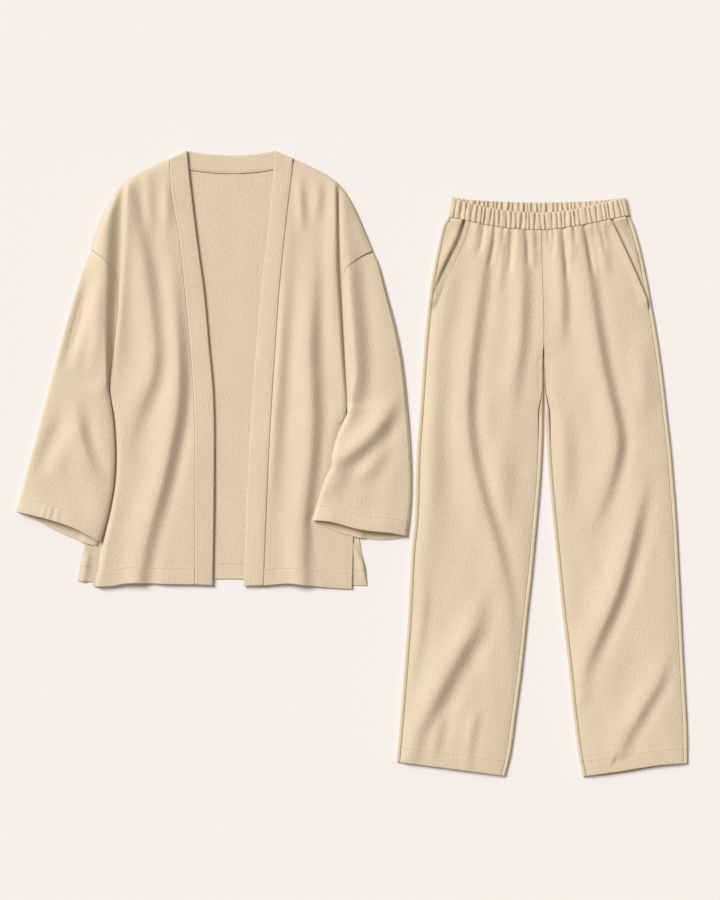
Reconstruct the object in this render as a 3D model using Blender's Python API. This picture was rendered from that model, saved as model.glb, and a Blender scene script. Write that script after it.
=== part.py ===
"""A two-piece trouser set laid flat: an open jacket with wide sleeves, and trousers with a gathered waist.

Metres, +Z up, with the cloth's underside at z = 0. +Y runs towards the necks, and left and right are as
seen from above with the neck at the top. The tables are in millimetres, measured from the middle of the
jacket's back neck and from the middle of the trousers' front waist. Every piece is a sheet that is laid
out as a grid of points on its outer side and then thickened inwards.
"""
import bmesh
import bpy
import numpy as np

# Driving dimensions, in millimetres
WALL = 1.2            # cloth
BAND_WALL = 2.4       # the jacket's band, folded double
SEAM = 0.15           # each side of a seam stands back by this much
REST = 3.0            # top of a front panel that lies on the back panel
SLEEVE_REST = 6.5     # top of a sleeve that lies on the body
UNDER_SLEEVE = 3.4    # underside of a sleeve that lies on the body
TROUSER_SEAM = 5.22   # height of the trousers' side and inner seams
SEAM_INSET = 7.0      # the trousers' seams show this far inside the outline
FOLD_HEIGHT = 5.0     # thickness of a sleeve along its folded edge
WAIST_HEIGHT = 11.5   # thickness of the gathered waist
GATHERS = 72          # gathers round the waistband
GATHER_DEPTH = 1.5
FOLD_GAIN = 1.35      # raises every fold in the tables
JACKET_AT = (-207.8, 537.4)     # the back neck's middle in the set
TROUSERS_AT = (325.2, 429.4)    # the front waist's middle in the set
MM = 0.001
SAND = (0.62, 0.52, 0.38)
SHADE = (0.58, 0.48, 0.35)
ARM_STEPS = 8            # stations along the part of the armhole seam that shows
INNER_STEPS = 6          # along its hidden part, in the crease
BACK_STEPS = 4           # along each part of the back armhole
SIDE_STEPS = 12          # down the side seam and the vent
LEG_STEPS = 27           # stations down a leg
POCKET_STEPS = 4         # of them along the pocket
CROTCH_STEPS = 6         # of them down the centre seam

# Lines on the jacket: x, y in rows from top to bottom
BAND_SEAM_LEFT = [(-106.3, -14.3), (-104.4, -43), (-100.3, -84.3), (-87.7, -158.2), (-74, -294.1),
    (-64.8, -409.4), (-61.4, -536.6), (-61.9, -651.9), (-61.9, -745.1)]
BAND_EDGE_LEFT = [(-75.7, 0), (-68.8, -87.7), (-57.3, -182.3), (-44.7, -246), (-37.2, -333.7),
    (-29.2, -435.2), (-28.6, -586.5), (-31, -747.5)]
BAND_SEAM_RIGHT = [(107.7, -13.8), (104.2, -46.4), (96.3, -111.8), (83.9, -233.9), (76.4, -344),
    (68.8, -461), (62.8, -586.5), (56.2, -747.2)]
BAND_EDGE_RIGHT = [(75.7, 0), (66.2, -111.8), (53.3, -223.6), (43.5, -333.7), (36.1, -435.2),
    (27.5, -586.5), (22, -748.2)]
NECK_SEAM = [(-106.3, -14.3), (-91.2, -24.9), (-72.2, -33), (-36.1, -37.8), (0, -39.6), (39.6, -37.8),
    (74, -32.7), (92.9, -24.6), (107.7, -13.8)]
NECK_EDGE = [(-75.7, 0), (-39.6, -5.7), (1.7, -7.7), (43, -5.5), (75.7, 0)]
SHOULDER_LEFT = [(-240.1, -170.3), (-232.2, -144.5), (-219.3, -110.1), (-204.7, -84.3), (-187.5, -60.2),
    (-163.4, -42.3), (-134.2, -27.3), (-106.3, -14.3)]
SHOULDER_RIGHT = [(107.7, -13.8), (130.7, -25.1), (161.7, -40.9), (184, -57.1), (201.2, -79.1),
    (216.7, -108.4), (231.3, -142.8), (244.2, -173)]
CREASE_LEFT = [(-184.6, -56.8), (-185.8, -125.6), (-188.7, -190.9), (-193.3, -256.3), (-201.2, -342.3),
    (-208.1, -393.9)]
CREASE_RIGHT = [(183, -56.8), (184, -149.6), (185.4, -209.8), (189.2, -282.1), (194.4, -368.1),
    (199.3, -431.7)]
ARMHOLE_LEFT = [(-240.1, -170.3), (-227, -179.7), (-213.3, -190.9), (-202.1, -204.7), (-195.4, -221.9)]
ARMHOLE_RIGHT = [(244.2, -173), (230.5, -178.9), (215, -188.7), (201.2, -199.5), (190.9, -215)]
INNER_ARMHOLE_LEFT = [(-195.4, -221.9), (-195, -273.5), (-201.2, -333.7), (-208.1, -393.9)]
INNER_ARMHOLE_RIGHT = [(190.9, -215), (190.9, -273.5), (193.7, -350.9), (199.3, -431.7)]
GUIDE_LEFT = [(-184.6, -56.8), (-185.8, -125.6), (-187.8, -178.9), (-189.9, -221.9)]
GUIDE_RIGHT = [(183, -56.8), (184, -135.9), (185.1, -215)]
INNER_GUIDE_LEFT = [(-189.9, -221.9), (-189.9, -273.5), (-195.4, -333.7), (-201.9, -393.9)]
INNER_GUIDE_RIGHT = [(185.1, -215), (185.1, -273.5), (187.8, -350.9), (192.6, -431.7)]
LOWER_GUIDE_LEFT = [(-201.9, -393.9), (-201.4, -412.8), (-200.6, -435.2), (-198.5, -473),
    (-196.8, -522.9), (-199.2, -571), (-207.8, -620.9), (-221, -673.4), (-227, -712.1), (-225.3, -748.2)]
LOWER_GUIDE_RIGHT = [(192.6, -431.7), (192, -450.6), (188.3, -469.6), (183, -490.2), (172, -525.5),
    (171.7, -542.7), (157.2, -572.8), (139, -634.7), (146.2, -689.7), (161.7, -749.9)]
TAIL_LEFT = [(-222.7, -673.4), (-236.7, -755.1)]
TAIL_RIGHT = [(139.8, -634.7), (149.6, -703.5), (170.3, -758.5)]
BACK_ARMHOLE_LEFT = [(-240.1, -170.3), (-233.1, -223.6), (-224.5, -276.9)]
BACK_ARMHOLE_RIGHT = [(244.2, -173), (236.5, -228.8), (226.2, -285.5)]
BACK_INNER_LEFT = [(-224.5, -276.9), (-216.7, -333.7), (-208.1, -393.9)]
BACK_INNER_RIGHT = [(226.2, -285.5), (214.1, -356), (199.3, -431.7)]
SIDE_LEFT = [(-208.1, -393.9), (-207.4, -412.8), (-209.8, -442), (-220.2, -531.5), (-229.6, -617.5),
    (-236.7, -679.4), (-237.4, -713.8), (-236.7, -748.7)]
SIDE_RIGHT = [(199.3, -431.7), (198.3, -450.6), (202.1, -497.1), (206.4, -565.9), (210.4, -634.7),
    (210.4, -681.1), (209.2, -717.2), (208.1, -753)]
BACK_SIDE_LEFT = [(-208.1, -393.9), (-209.5, -412.8), (-215, -454.1), (-225.3, -531.5), (-238.2, -617.5),
    (-252.8, -682.8), (-258.9, -712.1), (-264, -739.6)]
BACK_SIDE_RIGHT = [(199.3, -431.7), (200.9, -450.6), (206.4, -514.3), (213.3, -600.3), (221, -667.4),
    (227.9, -708.6), (235.1, -748.2)]
HEM_LEFT = [(-236.7, -748.7), (-215, -748.7), (-192.6, -746.5), (-178.4, -743), (-147.9, -743.4),
    (-104.9, -744.8), (-61.9, -745.1)]
HEM_RIGHT = [(56.2, -747.2), (77.4, -745.3), (101.5, -743.7), (141, -748.2), (175.4, -751.6), (208.1, -753)]
BACK_HEM = [(-264, -739.6), (-238.2, -741.3), (-139.3, -737.9), (-29.2, -736.7), (22.4, -736.7),
    (118.7, -739.6), (204.7, -746.5), (235.1, -748.2)]
SLEEVE_EDGE_LEFT = [(-240.1, -170.3), (-251.1, -196.1), (-268.3, -247.7), (-283.8, -299.3),
    (-297.6, -350.9), (-311.3, -402.5), (-333.7, -488.5), (-352.6, -557.3), (-368.9, -620.1)]
SLEEVE_EDGE_RIGHT = [(244.2, -173), (254.6, -196.1), (268.3, -247.7), (282.1, -299.3), (294.1, -359.5),
    (303.6, -445.5), (309.6, -531.5), (309.6, -600.3), (303.8, -662.9)]
UNDERARM_LEFT = [(-208.1, -393.9), (-208.8, -412.8), (-205.4, -435.2), (-200.4, -473), (-198.1, -522.9),
    (-200.4, -571), (-209, -620.9), (-222.7, -673.4)]
UNDERARM_RIGHT = [(199.3, -431.7), (199.9, -450.6), (193.5, -466.1), (184, -486.8), (172.7, -525.5),
    (172.3, -542.7), (157.9, -572.8), (139.8, -634.7)]
UNDER_LEFT = [(-208.1, -393.9), (-211.7, -412.8), (-211.6, -435.2), (-207.3, -473), (-203.8, -522.9),
    (-205.5, -571), (-214.1, -620.9), (-228.8, -679.4)]
UNDER_RIGHT = [(199.3, -431.7), (203.3, -450.6), (202.3, -469.6), (192.6, -491.9), (180.6, -526.3),
    (177.2, -546.1), (163.4, -577.9), (144.5, -637.3)]
CUFF_LEFT = [(-368.9, -620.1), (-338.8, -626.9), (-307.9, -634.7), (-271.8, -646.7), (-242.5, -661.3),
    (-222.7, -673.4)]
CUFF_RIGHT = [(139.8, -634.7), (172, -637.6), (223.1, -650.8), (276.1, -657), (303.8, -662.9)]
UNDER_CUFF_LEFT = [(-368.9, -620.1), (-344, -630.4), (-307.9, -649.6), (-276.9, -663.9), (-249.9, -674.9),
    (-228.8, -679.4)]
UNDER_CUFF_RIGHT = [(144.5, -637.3), (184, -655.3), (220.7, -665.3), (256.8, -668.7), (283.8, -667.4),
    (303.8, -662.9)]

# Folds of the jacket: heights at the start, middle and end, widths to the left and right, crest line
FRONT_LEFT_FOLDS = [
    (0, 4.6, 0, 26, 15, [(-180.6, -80.8), (-160, -153.1), (-146.2, -221.9), (-137.6, -290.7),
        (-132.4, -342.3), (-137.6, -387), (-153.1, -428.3), (-170.3, -476.4), (-189.2, -548.7)]),
    (0, 5.4, 3.4, 24, 13, [(-103.2, -132.4), (-98, -256.3), (-92.9, -333.7), (-91.2, -402.5),
        (-95.5, -454.1), (-104.9, -505.7), (-116.1, -557.3), (-129.9, -608.9), (-146.2, -669.1),
        (-161.7, -751.6)]),
    (0, 2.2, 0, 9, 8, [(-142.8, -36.1), (-141, -87.7), (-137.6, -144.5)]),
    (0, 1.8, 0, 8, 8, [(-168.6, -53.3), (-165.1, -87.7), (-158.2, -132.4)]),
    (0, 1.6, 0, 8, 9, [(-111.8, -29.2), (-110.1, -84.3), (-108.4, -153.1)]),
]
FRONT_RIGHT_FOLDS = [
    (0, 5.2, 3.6, 22, 14, [(134.2, -92.9), (139.3, -187.5), (136.7, -273.5), (134.2, -342.3),
        (136.7, -411.1), (137.6, -479.9), (133.3, -548.7), (126.4, -617.5), (122.1, -686.3),
        (120.4, -755.1)]),
    (0, 2.4, 0, 8, 12, [(98, -84.3), (91.2, -239.1), (82.6, -376.7), (74, -497.1), (65.4, -617.5),
        (61.9, -703.5)]),
    (0, 2.0, 0, 8, 8, [(115.2, -32.7), (118.7, -84.3), (123.8, -149.6)]),
    (0, 1.6, 0, 9, 9, [(149.6, -43), (149.6, -77.4), (147.9, -127.3)]),
    (0, 2.0, 0, 14, 10, [(166.8, -92.9), (170.3, -187.5), (172, -290.7), (177.2, -380.1)]),
]
SLEEVE_LEFT_FOLDS = [
    (0, 3.2, 0, 22, 12, [(-270, -424.8), (-261.4, -476.4), (-249.4, -521.2), (-230.5, -555.6),
        (-209.8, -572.8)]),
    (0, -2.6, 0, 14, 16, [(-278.6, -436.9), (-301, -483.3), (-319.9, -528), (-337.1, -576.2)]),
    (0, 2.2, 0, 16, 14, [(-259.7, -239.1), (-266.6, -307.9), (-270, -376.7)]),
]
SLEEVE_RIGHT_FOLDS = [
    (0, 4.4, 0, 9, 15, [(197.8, -92.9), (203.8, -187.5), (209, -273.5), (214.1, -342.3), (215.9, -390.4),
        (207.3, -431.7), (190.9, -483.3), (175.4, -526.3)]),
    (0, 5.6, 1.5, 20, 15, [(285.5, -393.9), (261.4, -436.9), (235.6, -476.4), (206.4, -507.4),
        (180.6, -531.5), (158.2, -583.1)]),
    (0, 2.4, 0, 14, 14, [(275.2, -483.3), (242.5, -534.9), (208.1, -579.6)]),
    (0, 2.0, 0, 10, 10, [(208.1, -77.4), (223.6, -115.2), (235.6, -160)]),
]

# Lines on the trousers
OUTER_LEFT = [(-160, -6.5), (-168.6, -18.9), (-177.2, -53.3), (-184, -87.7), (-190.1, -122.1),
    (-193.8, -149.6), (-199.5, -208.1), (-204.7, -276.9), (-209.3, -345.7), (-214.1, -414.5),
        (-217.2, -517.7), (-223.6, -586.5), (-228.8, -689.7), (-233.9, -758.5), (-239.1, -827.3),
        (-244.2, -887.5), (-249.1, -941.5)]
OUTER_RIGHT = [(151, -3.8), (158.6, -18.9), (168.7, -53.3), (176.6, -87.7), (183.5, -122.1),
    (188.5, -149.6), (198.8, -208.1), (208.5, -276.9), (216.4, -345.7), (223.9, -414.5), (232.2, -517.7),
        (236, -586.5), (241, -689.7), (244.4, -758.5), (247.9, -827.3), (251.1, -887.5), (251.5, -944.3)]
INNER_LEFT = [(4, -254.6), (3.6, -319.9), (2.8, -383.6), (1, -426.6), (-2.4, -478.2), (-8.6, -548.7),
    (-15.3, -620.9), (-23, -689.7), (-33, -784.3), (-43.2, -861.7), (-51.9, -925.4), (-61.9, -966.5)]
INNER_RIGHT = [(4.6, -254.6), (6.2, -319.9), (8.9, -383.6), (12, -436.9), (16.3, -486.8), (22.4, -552.1),
    (29.2, -620.9), (36.1, -689.7), (47.3, -784.3), (55, -861.7), (62.8, -921.9), (71, -967.2)]
CENTRE = [(0.3, -29.1), (1.7, -96.3), (4.5, -182.3), (4.3, -254.6)]
WAIST_TOP = [(-153.4, 28.2), (-139.3, 23), (-113.5, 14.8), (-75.7, 6.9), (-36.1, 2.4), (0, 1),
    (32.7, 3.4), (61.9, 7.9), (116.1, 20.6), (144.1, 27.5)]
WAIST_BACK_TOP = [(-153.4, 28.2), (-129, 24.4), (-103.2, 22.5), (-53.3, 20.3), (0, 19.1), (49.9, 20.3),
    (84.3, 21.7), (119.5, 24.4), (144.1, 27.5)]
WAIST_BACK_SEAM = [(-160, -6.5), (-87.7, -11), (0, -12.7), (84.3, -10), (151, -3.8)]
WAIST_SEAM = [(-160, -6.5), (-137.9, -10.8), (-113.5, -16.5), (-87.7, -21.3), (-44.7, -27.2),
    (0.3, -29.1), (32.7, -26.3), (61.9, -22), (91.2, -16.5), (119.2, -10.7), (151, -3.8)]
POCKET_LEFT = [(-130.4, -13.1), (-138.3, -41.3), (-155.3, -77.4), (-171.1, -110.1), (-186.4, -148.8)]
POCKET_RIGHT = [(119.2, -10.7), (133.1, -39.6), (150, -75.7), (166.5, -112.8), (181.8, -148.8)]
LEG_HEM_LEFT = [(-249.1, -941.5), (-195.6, -948.6), (-117.1, -958.6), (-61.9, -966.5)]
LEG_HEM_RIGHT = [(71, -967.2), (111.8, -961.5), (155.5, -954.9), (201.2, -947.7), (251.5, -944.3)]
BACK_HEM_RIGHT = [(71, -967.2), (111.8, -965.3), (155.5, -959.1), (201.2, -950.5), (251.5, -944.3)]

LEG_LEFT_FOLDS = [
    (1.5, 3.6, 0, 18, 22, [(-146.2, -24.1), (-153.1, -82.6), (-166.8, -139.3), (-180.6, -199.5),
        (-189.2, -268.3), (-192.6, -371.5), (-196.1, -474.7), (-206.4, -595.1), (-218.4, -715.5)]),
    (3.0, 5.2, 0, 26, 12, [(-84.3, -20.6), (-101.5, -96.3), (-115.2, -182.3), (-126.4, -268.3),
        (-129.9, -337.1), (-125.6, -397.3), (-113.5, -457.5), (-98, -512.6), (-80.8, -571),
        (-63.6, -638.1), (-53.3, -715.5), (-58.5, -818.7)]),
    (2.6, 3.4, 0, 16, 12, [(-37.8, -27.5), (-34.4, -122.1), (-37.8, -216.7), (-48.2, -294.1),
        (-60.2, -380.1)]),
    (2.4, 1.6, 0, 9, 8, [(-65.4, -24.1), (-69.7, -82.6), (-75.7, -151.4)]),
    (2.2, 1.2, 0, 8, 8, [(-110.1, -17.2), (-115.2, -44.7), (-122.1, -82.6)]),
    (1.8, 1.0, 0, 7, 7, [(-13.8, -27.5), (-12.9, -61.9), (-12, -110.1)]),
    (0, 5.0, 2.2, 26, 12, [(-110.1, -646.7), (-120.4, -715.5), (-147.9, -760.2), (-182.3, -822.2),
        (-220.2, -884.1), (-233.9, -908.2)]),
    (0, 2.6, 0, 20, 22, [(-61.9, -354.3), (-70.5, -405.9), (-65.4, -491.9), (-49.9, -560.7)]),
]
LEG_RIGHT_FOLDS = [
    (2.6, 3.4, 0, 16, 10, [(24.1, -25.8), (31, -96.3), (34.4, -165.1), (32.7, -242.5)]),
    (3.2, 5.2, 0, 26, 12, [(61.9, -20.6), (74, -87.7), (86, -168.6), (96.3, -233.9), (110.1, -302.7),
        (122.1, -350.9), (128.1, -392.2), (121.3, -433.4), (106.6, -483.3), (87.7, -526.3),
        (61.9, -577.9)]),
    (2.2, 1.4, 0, 8, 8, [(46.4, -24.1), (49.9, -53.3), (53.3, -92.9)]),
    (2.2, 1.6, 0, 9, 9, [(94.6, -15.5), (103.2, -61.9), (113.5, -122.1)]),
    (0, 2.2, 0, 16, 16, [(32.7, -311.3), (36.1, -405.9), (32.7, -543.5)]),
    (0, 5.2, 1.5, 28, 13, [(180.6, -409.4), (170.3, -474.7), (154.8, -543.5), (139.3, -607.2),
        (120.4, -663.9), (94.6, -724.1), (70.5, -780.9), (61.9, -835.9)]),
    (0, 4.4, 2.2, 22, 11, [(218.4, -732.7), (199.5, -798.1), (175.4, -841.1), (147.9, -889.2),
        (132.4, -921.9)]),
    (0, 2.4, 0, 20, 20, [(163.4, -199.5), (177.2, -285.5), (184, -371.5)]),
]


def line(rows, count):
    """Points evenly spaced along a smooth line through the rows."""
    rows = np.asarray(rows, float)
    ends = np.vstack([2 * rows[0] - rows[1], rows, 2 * rows[-1] - rows[-2]])
    t = np.linspace(0, 1, 13)[:-1, None]
    dense = [0.5 * (2 * b + (c - a) * t + (2 * a - 5 * b + 4 * c - d) * t**2 + (3 * b - a - 3 * c + d) * t**3)
             for a, b, c, d in zip(ends, ends[1:], ends[2:], ends[3:])]
    dense = np.vstack(dense + [rows[-1:]])
    along = np.r_[0, np.cumsum(np.hypot(*np.diff(dense, axis=0).T))]
    at = np.linspace(0, along[-1], count)
    return np.column_stack([np.interp(at, along, dense[:, k]) for k in (0, 1)])


def joined(*parts):
    """Several lines end to end, each given as rows and a number of steps."""
    lines = [line(rows, steps + 1) for rows, steps in parts]
    return np.vstack([lines[0]] + [part[1:] for part in lines[1:]])


def shifted(points, distance):
    """A line moved sideways: to its +X side for a positive distance when it runs down the garment."""
    way = np.gradient(points, axis=0)
    way /= np.hypot(way[:, 0], way[:, 1])[:, None]
    return points + distance * np.column_stack([-way[:, 1], way[:, 0]])


def on_line(rows, xs):
    """The y of a line that runs across the garment, at the x given."""
    dense = line(rows, 400)
    order = np.argsort(dense[:, 0])
    return np.interp(xs, dense[order, 0], dense[order, 1])


def patch(left, right, top, bottom):
    """A grid of points between four edges, row by row from the top."""
    v = np.linspace(0, 1, len(left))[:, None, None]
    u = np.linspace(0, 1, len(top))[None, :, None]
    corners = ((1 - u) * (1 - v) * top[0] + u * (1 - v) * top[-1]
               + (1 - u) * v * bottom[0] + u * v * bottom[-1])
    return ((1 - v) * top[None] + v * bottom[None] + (1 - u) * left[:, None] + u * right[:, None] - corners)


def beside(xy, points):
    """Distance from a line, positive on its +X side when it runs downwards, and the share run, 0 to 1."""
    flat = xy.reshape(-1, 2)
    start, way = points[:-1], np.diff(points, axis=0)
    out = flat[:, None] - start
    t = np.clip((out * way).sum(-1) / (way * way).sum(-1), 0, 1)
    off = out - way * t[..., None]
    gap = np.hypot(off[..., 0], off[..., 1])
    k = gap.argmin(1)
    pick = np.arange(len(flat))
    side = np.sign(way[k, 0] * off[pick, k, 1] - way[k, 1] * off[pick, k, 0])
    share = (k + t[pick, k]) / len(start)
    return (side * gap[pick, k]).reshape(xy.shape[:-1]), share.reshape(xy.shape[:-1])


def smooth(x, low, high):
    """0 below low, 1 above high, and an easy slope between."""
    t = np.clip((x - low) / (high - low), 0, 1)
    return t * t * (3 - 2 * t)


def folds(xy, table):
    """Summed height of the folds in a table."""
    height = np.zeros(xy.shape[:-1])
    for first, middle, last, left, right, crest in table:
        across, along = beside(xy, line(crest, 40))
        size = np.where(along < 0.5, first + (middle - first) * smooth(along, 0, 0.42),
                        last + (middle - last) * smooth(1 - along, 0, 0.42))
        height += size * np.exp(-(across / np.where(across < 0, left, right)) ** 2)
    return height * FOLD_GAIN


def rise(distance, width):
    """0 at an edge, rounding up to 1 inside it."""
    return 1 - np.exp(-np.maximum(distance, 0) / width)


def body_height(xy, side):
    """Top of a jacket front; side is -1 for the left front and +1 for the right."""
    crease = np.vstack([line(CREASE_LEFT if side < 0 else CREASE_RIGHT, 30),
                        line(UNDERARM_LEFT if side < 0 else UNDERARM_RIGHT, 30)[1:],
                        line(TAIL_LEFT if side < 0 else TAIL_RIGHT, 8)[1:]])
    across, along = beside(xy, crease)
    inside = -side * across - 2.5 * smooth(along, 0.5, 0.55)
    shoulder = line(SHOULDER_LEFT if side < 0 else SHOULDER_RIGHT, 30)
    top = np.abs(beside(xy, shoulder)[0])
    edge = 4.5 + 9 * smooth(along, 0.4, 0.62)
    body = (3.6 + folds(xy, FRONT_LEFT_FOLDS if side < 0 else FRONT_RIGHT_FOLDS)
            + 3.4 * np.exp(-(np.maximum(inside, 0) / 26) ** 2) * smooth(along, 0.5, 0.3))
    body = np.maximum(body, 0.6) * rise(inside, edge) * rise(top, 7)
    arm = sleeve_shape(xy, side) * rise(-inside, 9) * rise(top, 7)
    arm *= smooth(along, 0.46, 0.36)
    return REST + np.where(inside > 0, body, arm)


def sleeve_shape(xy, side):
    """How far a sleeve's upper layer stands up, away from its edges."""
    return np.maximum(5.2 + folds(xy, SLEEVE_LEFT_FOLDS if side < 0 else SLEEVE_RIGHT_FOLDS), 0.5)


def sleeve_height(xy, side):
    """Top of a sleeve's upper layer."""
    crease = line(CREASE_LEFT if side < 0 else CREASE_RIGHT, 30)
    under = line(UNDERARM_LEFT if side < 0 else UNDERARM_RIGHT, 30)
    across, along = beside(xy, np.vstack([crease, under[1:]]))
    outside = side * across
    below = smooth(along, 0.5, 0.531)
    outer = np.abs(beside(xy, line(SLEEVE_EDGE_LEFT if side < 0 else SLEEVE_EDGE_RIGHT, 40))[0])
    shoulder = line(SHOULDER_LEFT if side < 0 else SHOULDER_RIGHT, 30)
    top = np.minimum(np.abs(beside(xy, shoulder)[0]), outer)
    lift = sleeve_shape(xy, side) * rise(outside, 9 - 4 * below) * rise(top, 7)
    near = np.exp(-(np.maximum(outside, 0) / 60) ** 2)
    rest = REST + (SLEEVE_REST - REST) * below * np.maximum(near, smooth(outside, 70, 20))
    cuff = 2.4 * smooth(along, 0.8, 1.0) * np.exp(-(outside / 40) ** 2)
    return np.maximum(rest + lift + cuff, FOLD_HEIGHT * (1 - rise(outer, 4)) + 0.2)


def under_height(xy, side):
    """Underside of a sleeve's lower layer: on the floor, and up over the body's side."""
    back = joined((BACK_SIDE_LEFT if side < 0 else BACK_SIDE_RIGHT, 30))
    across, along = beside(xy, back)
    over = smooth(-side * across, -15, -1.5)
    return UNDER_SLEEVE * over * smooth(along, 0.002, 0.045)


def leg_height(xy, side):
    """Top of a trouser front."""
    outer = line(OUTER_LEFT if side < 0 else OUTER_RIGHT, 40)
    inner = line(INNER_LEFT if side < 0 else INNER_RIGHT, 40)
    far = np.minimum(np.abs(beside(xy, outer)[0]), np.abs(beside(xy, inner)[0])) - SEAM_INSET
    hem = line(LEG_HEM_LEFT if side < 0 else LEG_HEM_RIGHT, 20)
    low = np.abs(beside(xy, hem)[0])
    full = 3.2 + folds(xy, LEG_LEFT_FOLDS if side < 0 else LEG_RIGHT_FOLDS)
    full = np.maximum(full, 0.4) * rise(far, 16) * (0.55 + 0.45 * rise(low, 22))
    waist = np.abs(beside(xy, line(WAIST_SEAM, 40))[0])
    flat = waist_height(xy)
    blend = np.exp(-(waist / 16) ** 2)
    lift = TROUSER_SEAM + full
    return lift + (np.maximum(flat, lift) - lift) * blend


def waist_height(xy):
    """Top of the waistband's front across the waist."""
    share = np.clip((xy[..., 0] - WAIST_SEAM[0][0]) / (WAIST_SEAM[-1][0] - WAIST_SEAM[0][0]), 0, 1)
    return WAIST_HEIGHT / 2 * (1 + np.clip(1 - np.abs(2 * share - 1) ** 12, 0, 1) ** 0.5)


def place(grid, height):
    """Grid points with a height each, as x, y, z."""
    return np.dstack([grid, np.broadcast_to(height, grid.shape[:2])])


def sheet(name, outer, wall, up, colour, turned=None, closed=False):
    """A cloth piece: its outer side's grid, thickened inwards by the wall and closed round its edges.

    Points marked as turned are thickened square to the cloth, and the others straight up or down.
    """
    rows, cols = outer.shape[:2]
    if closed:
        wide = np.concatenate([outer[:, -2:-1], outer, outer[:, 1:2]], axis=1)
        across = np.gradient(wide, axis=1)[:, 1:-1]
    else:
        across = np.gradient(outer, axis=1)
    normal = np.cross(across, np.gradient(outer, axis=0))
    normal *= up / np.linalg.norm(normal, axis=2)[..., None]
    straight = np.zeros_like(normal)
    straight[..., 2] = np.sign(normal[..., 2]) / np.maximum(np.abs(normal[..., 2]), 0.8)
    if turned is None:
        turned = np.zeros((rows, cols), bool)
    upright = np.abs(normal[..., 2]) > 0.75
    turned[[0, -1]] &= ~upright[[0, -1]]
    if not closed:
        turned[:, [0, -1]] &= ~upright[:, [0, -1]]
    normal = np.where(turned[..., None], normal, straight)
    inner = (outer - normal * wall) * MM
    mesh = bmesh.new()
    bmesh.ops.create_grid(mesh, x_segments=cols - 1, y_segments=rows - 1, size=0.5)
    mark = mesh.verts.layers.int.new("station")
    mesh.verts.ensure_lookup_table()
    points = outer.reshape(-1, 3) * MM
    for k, vert in enumerate(mesh.verts):
        vert.co = points[k]
        vert[mark] = k
    if closed:
        bmesh.ops.remove_doubles(mesh, verts=mesh.verts[:], dist=0.00001)
    grown = bmesh.ops.extrude_face_region(mesh, geom=mesh.faces[:])
    flat = inner.reshape(-1, 3)
    for vert in grown["geom"]:
        if isinstance(vert, bmesh.types.BMVert):
            vert.co = flat[vert[mark]]
    bmesh.ops.recalc_face_normals(mesh, faces=mesh.faces[:])
    data = bpy.data.meshes.new(name)
    mesh.to_mesh(data)
    mesh.free()
    data.shade_smooth()
    data.set_sharp_from_angle(angle=0.9)
    part = bpy.data.objects.new(name, data)
    SET.objects.link(part)
    data.materials.append(cloth(name, colour))
    return part


def cloth(name, colour):
    """Plain matt cloth in the colour given."""
    material = bpy.data.materials.new(name + "_cloth")
    material.use_nodes = True
    shader = material.node_tree.nodes["Principled BSDF"]
    shader.inputs["Base Color"].default_value = (*colour, 1)
    shader.inputs["Roughness"].default_value = 0.9
    shader.inputs["Metallic"].default_value = 0
    return material


def jacket_back():
    """The back panel, flat on the floor."""
    steps = (BACK_STEPS, BACK_STEPS, 1, 8)
    left = joined(*zip((BACK_ARMHOLE_LEFT, BACK_INNER_LEFT, BACK_SIDE_LEFT[:2], BACK_SIDE_LEFT[1:]), steps))
    right = joined(*zip((BACK_ARMHOLE_RIGHT, BACK_INNER_RIGHT, BACK_SIDE_RIGHT[:2], BACK_SIDE_RIGHT[1:]),
                        steps))
    left, right = shifted(left, SEAM), shifted(right, -SEAM)
    neck = line(NECK_SEAM, 7) - (0, 10 * SEAM)
    neck[[0, -1], 1] -= 6
    top = np.vstack([shifted(line(SHOULDER_LEFT, 5), 1.2)[:-1], neck,
                     shifted(line(SHOULDER_RIGHT, 5), 1.2)[1:]])
    left[0, 0] += 3
    right[0, 0] -= 3
    top[0], top[-1] = left[0], right[0]
    bottom = line(BACK_HEM, len(top))
    bottom[0], bottom[-1] = left[-1], right[-1]
    grid = patch(left, right, top, bottom)
    return sheet("jacket_back", place(grid, 0.0), WALL, 1, SAND)


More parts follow.
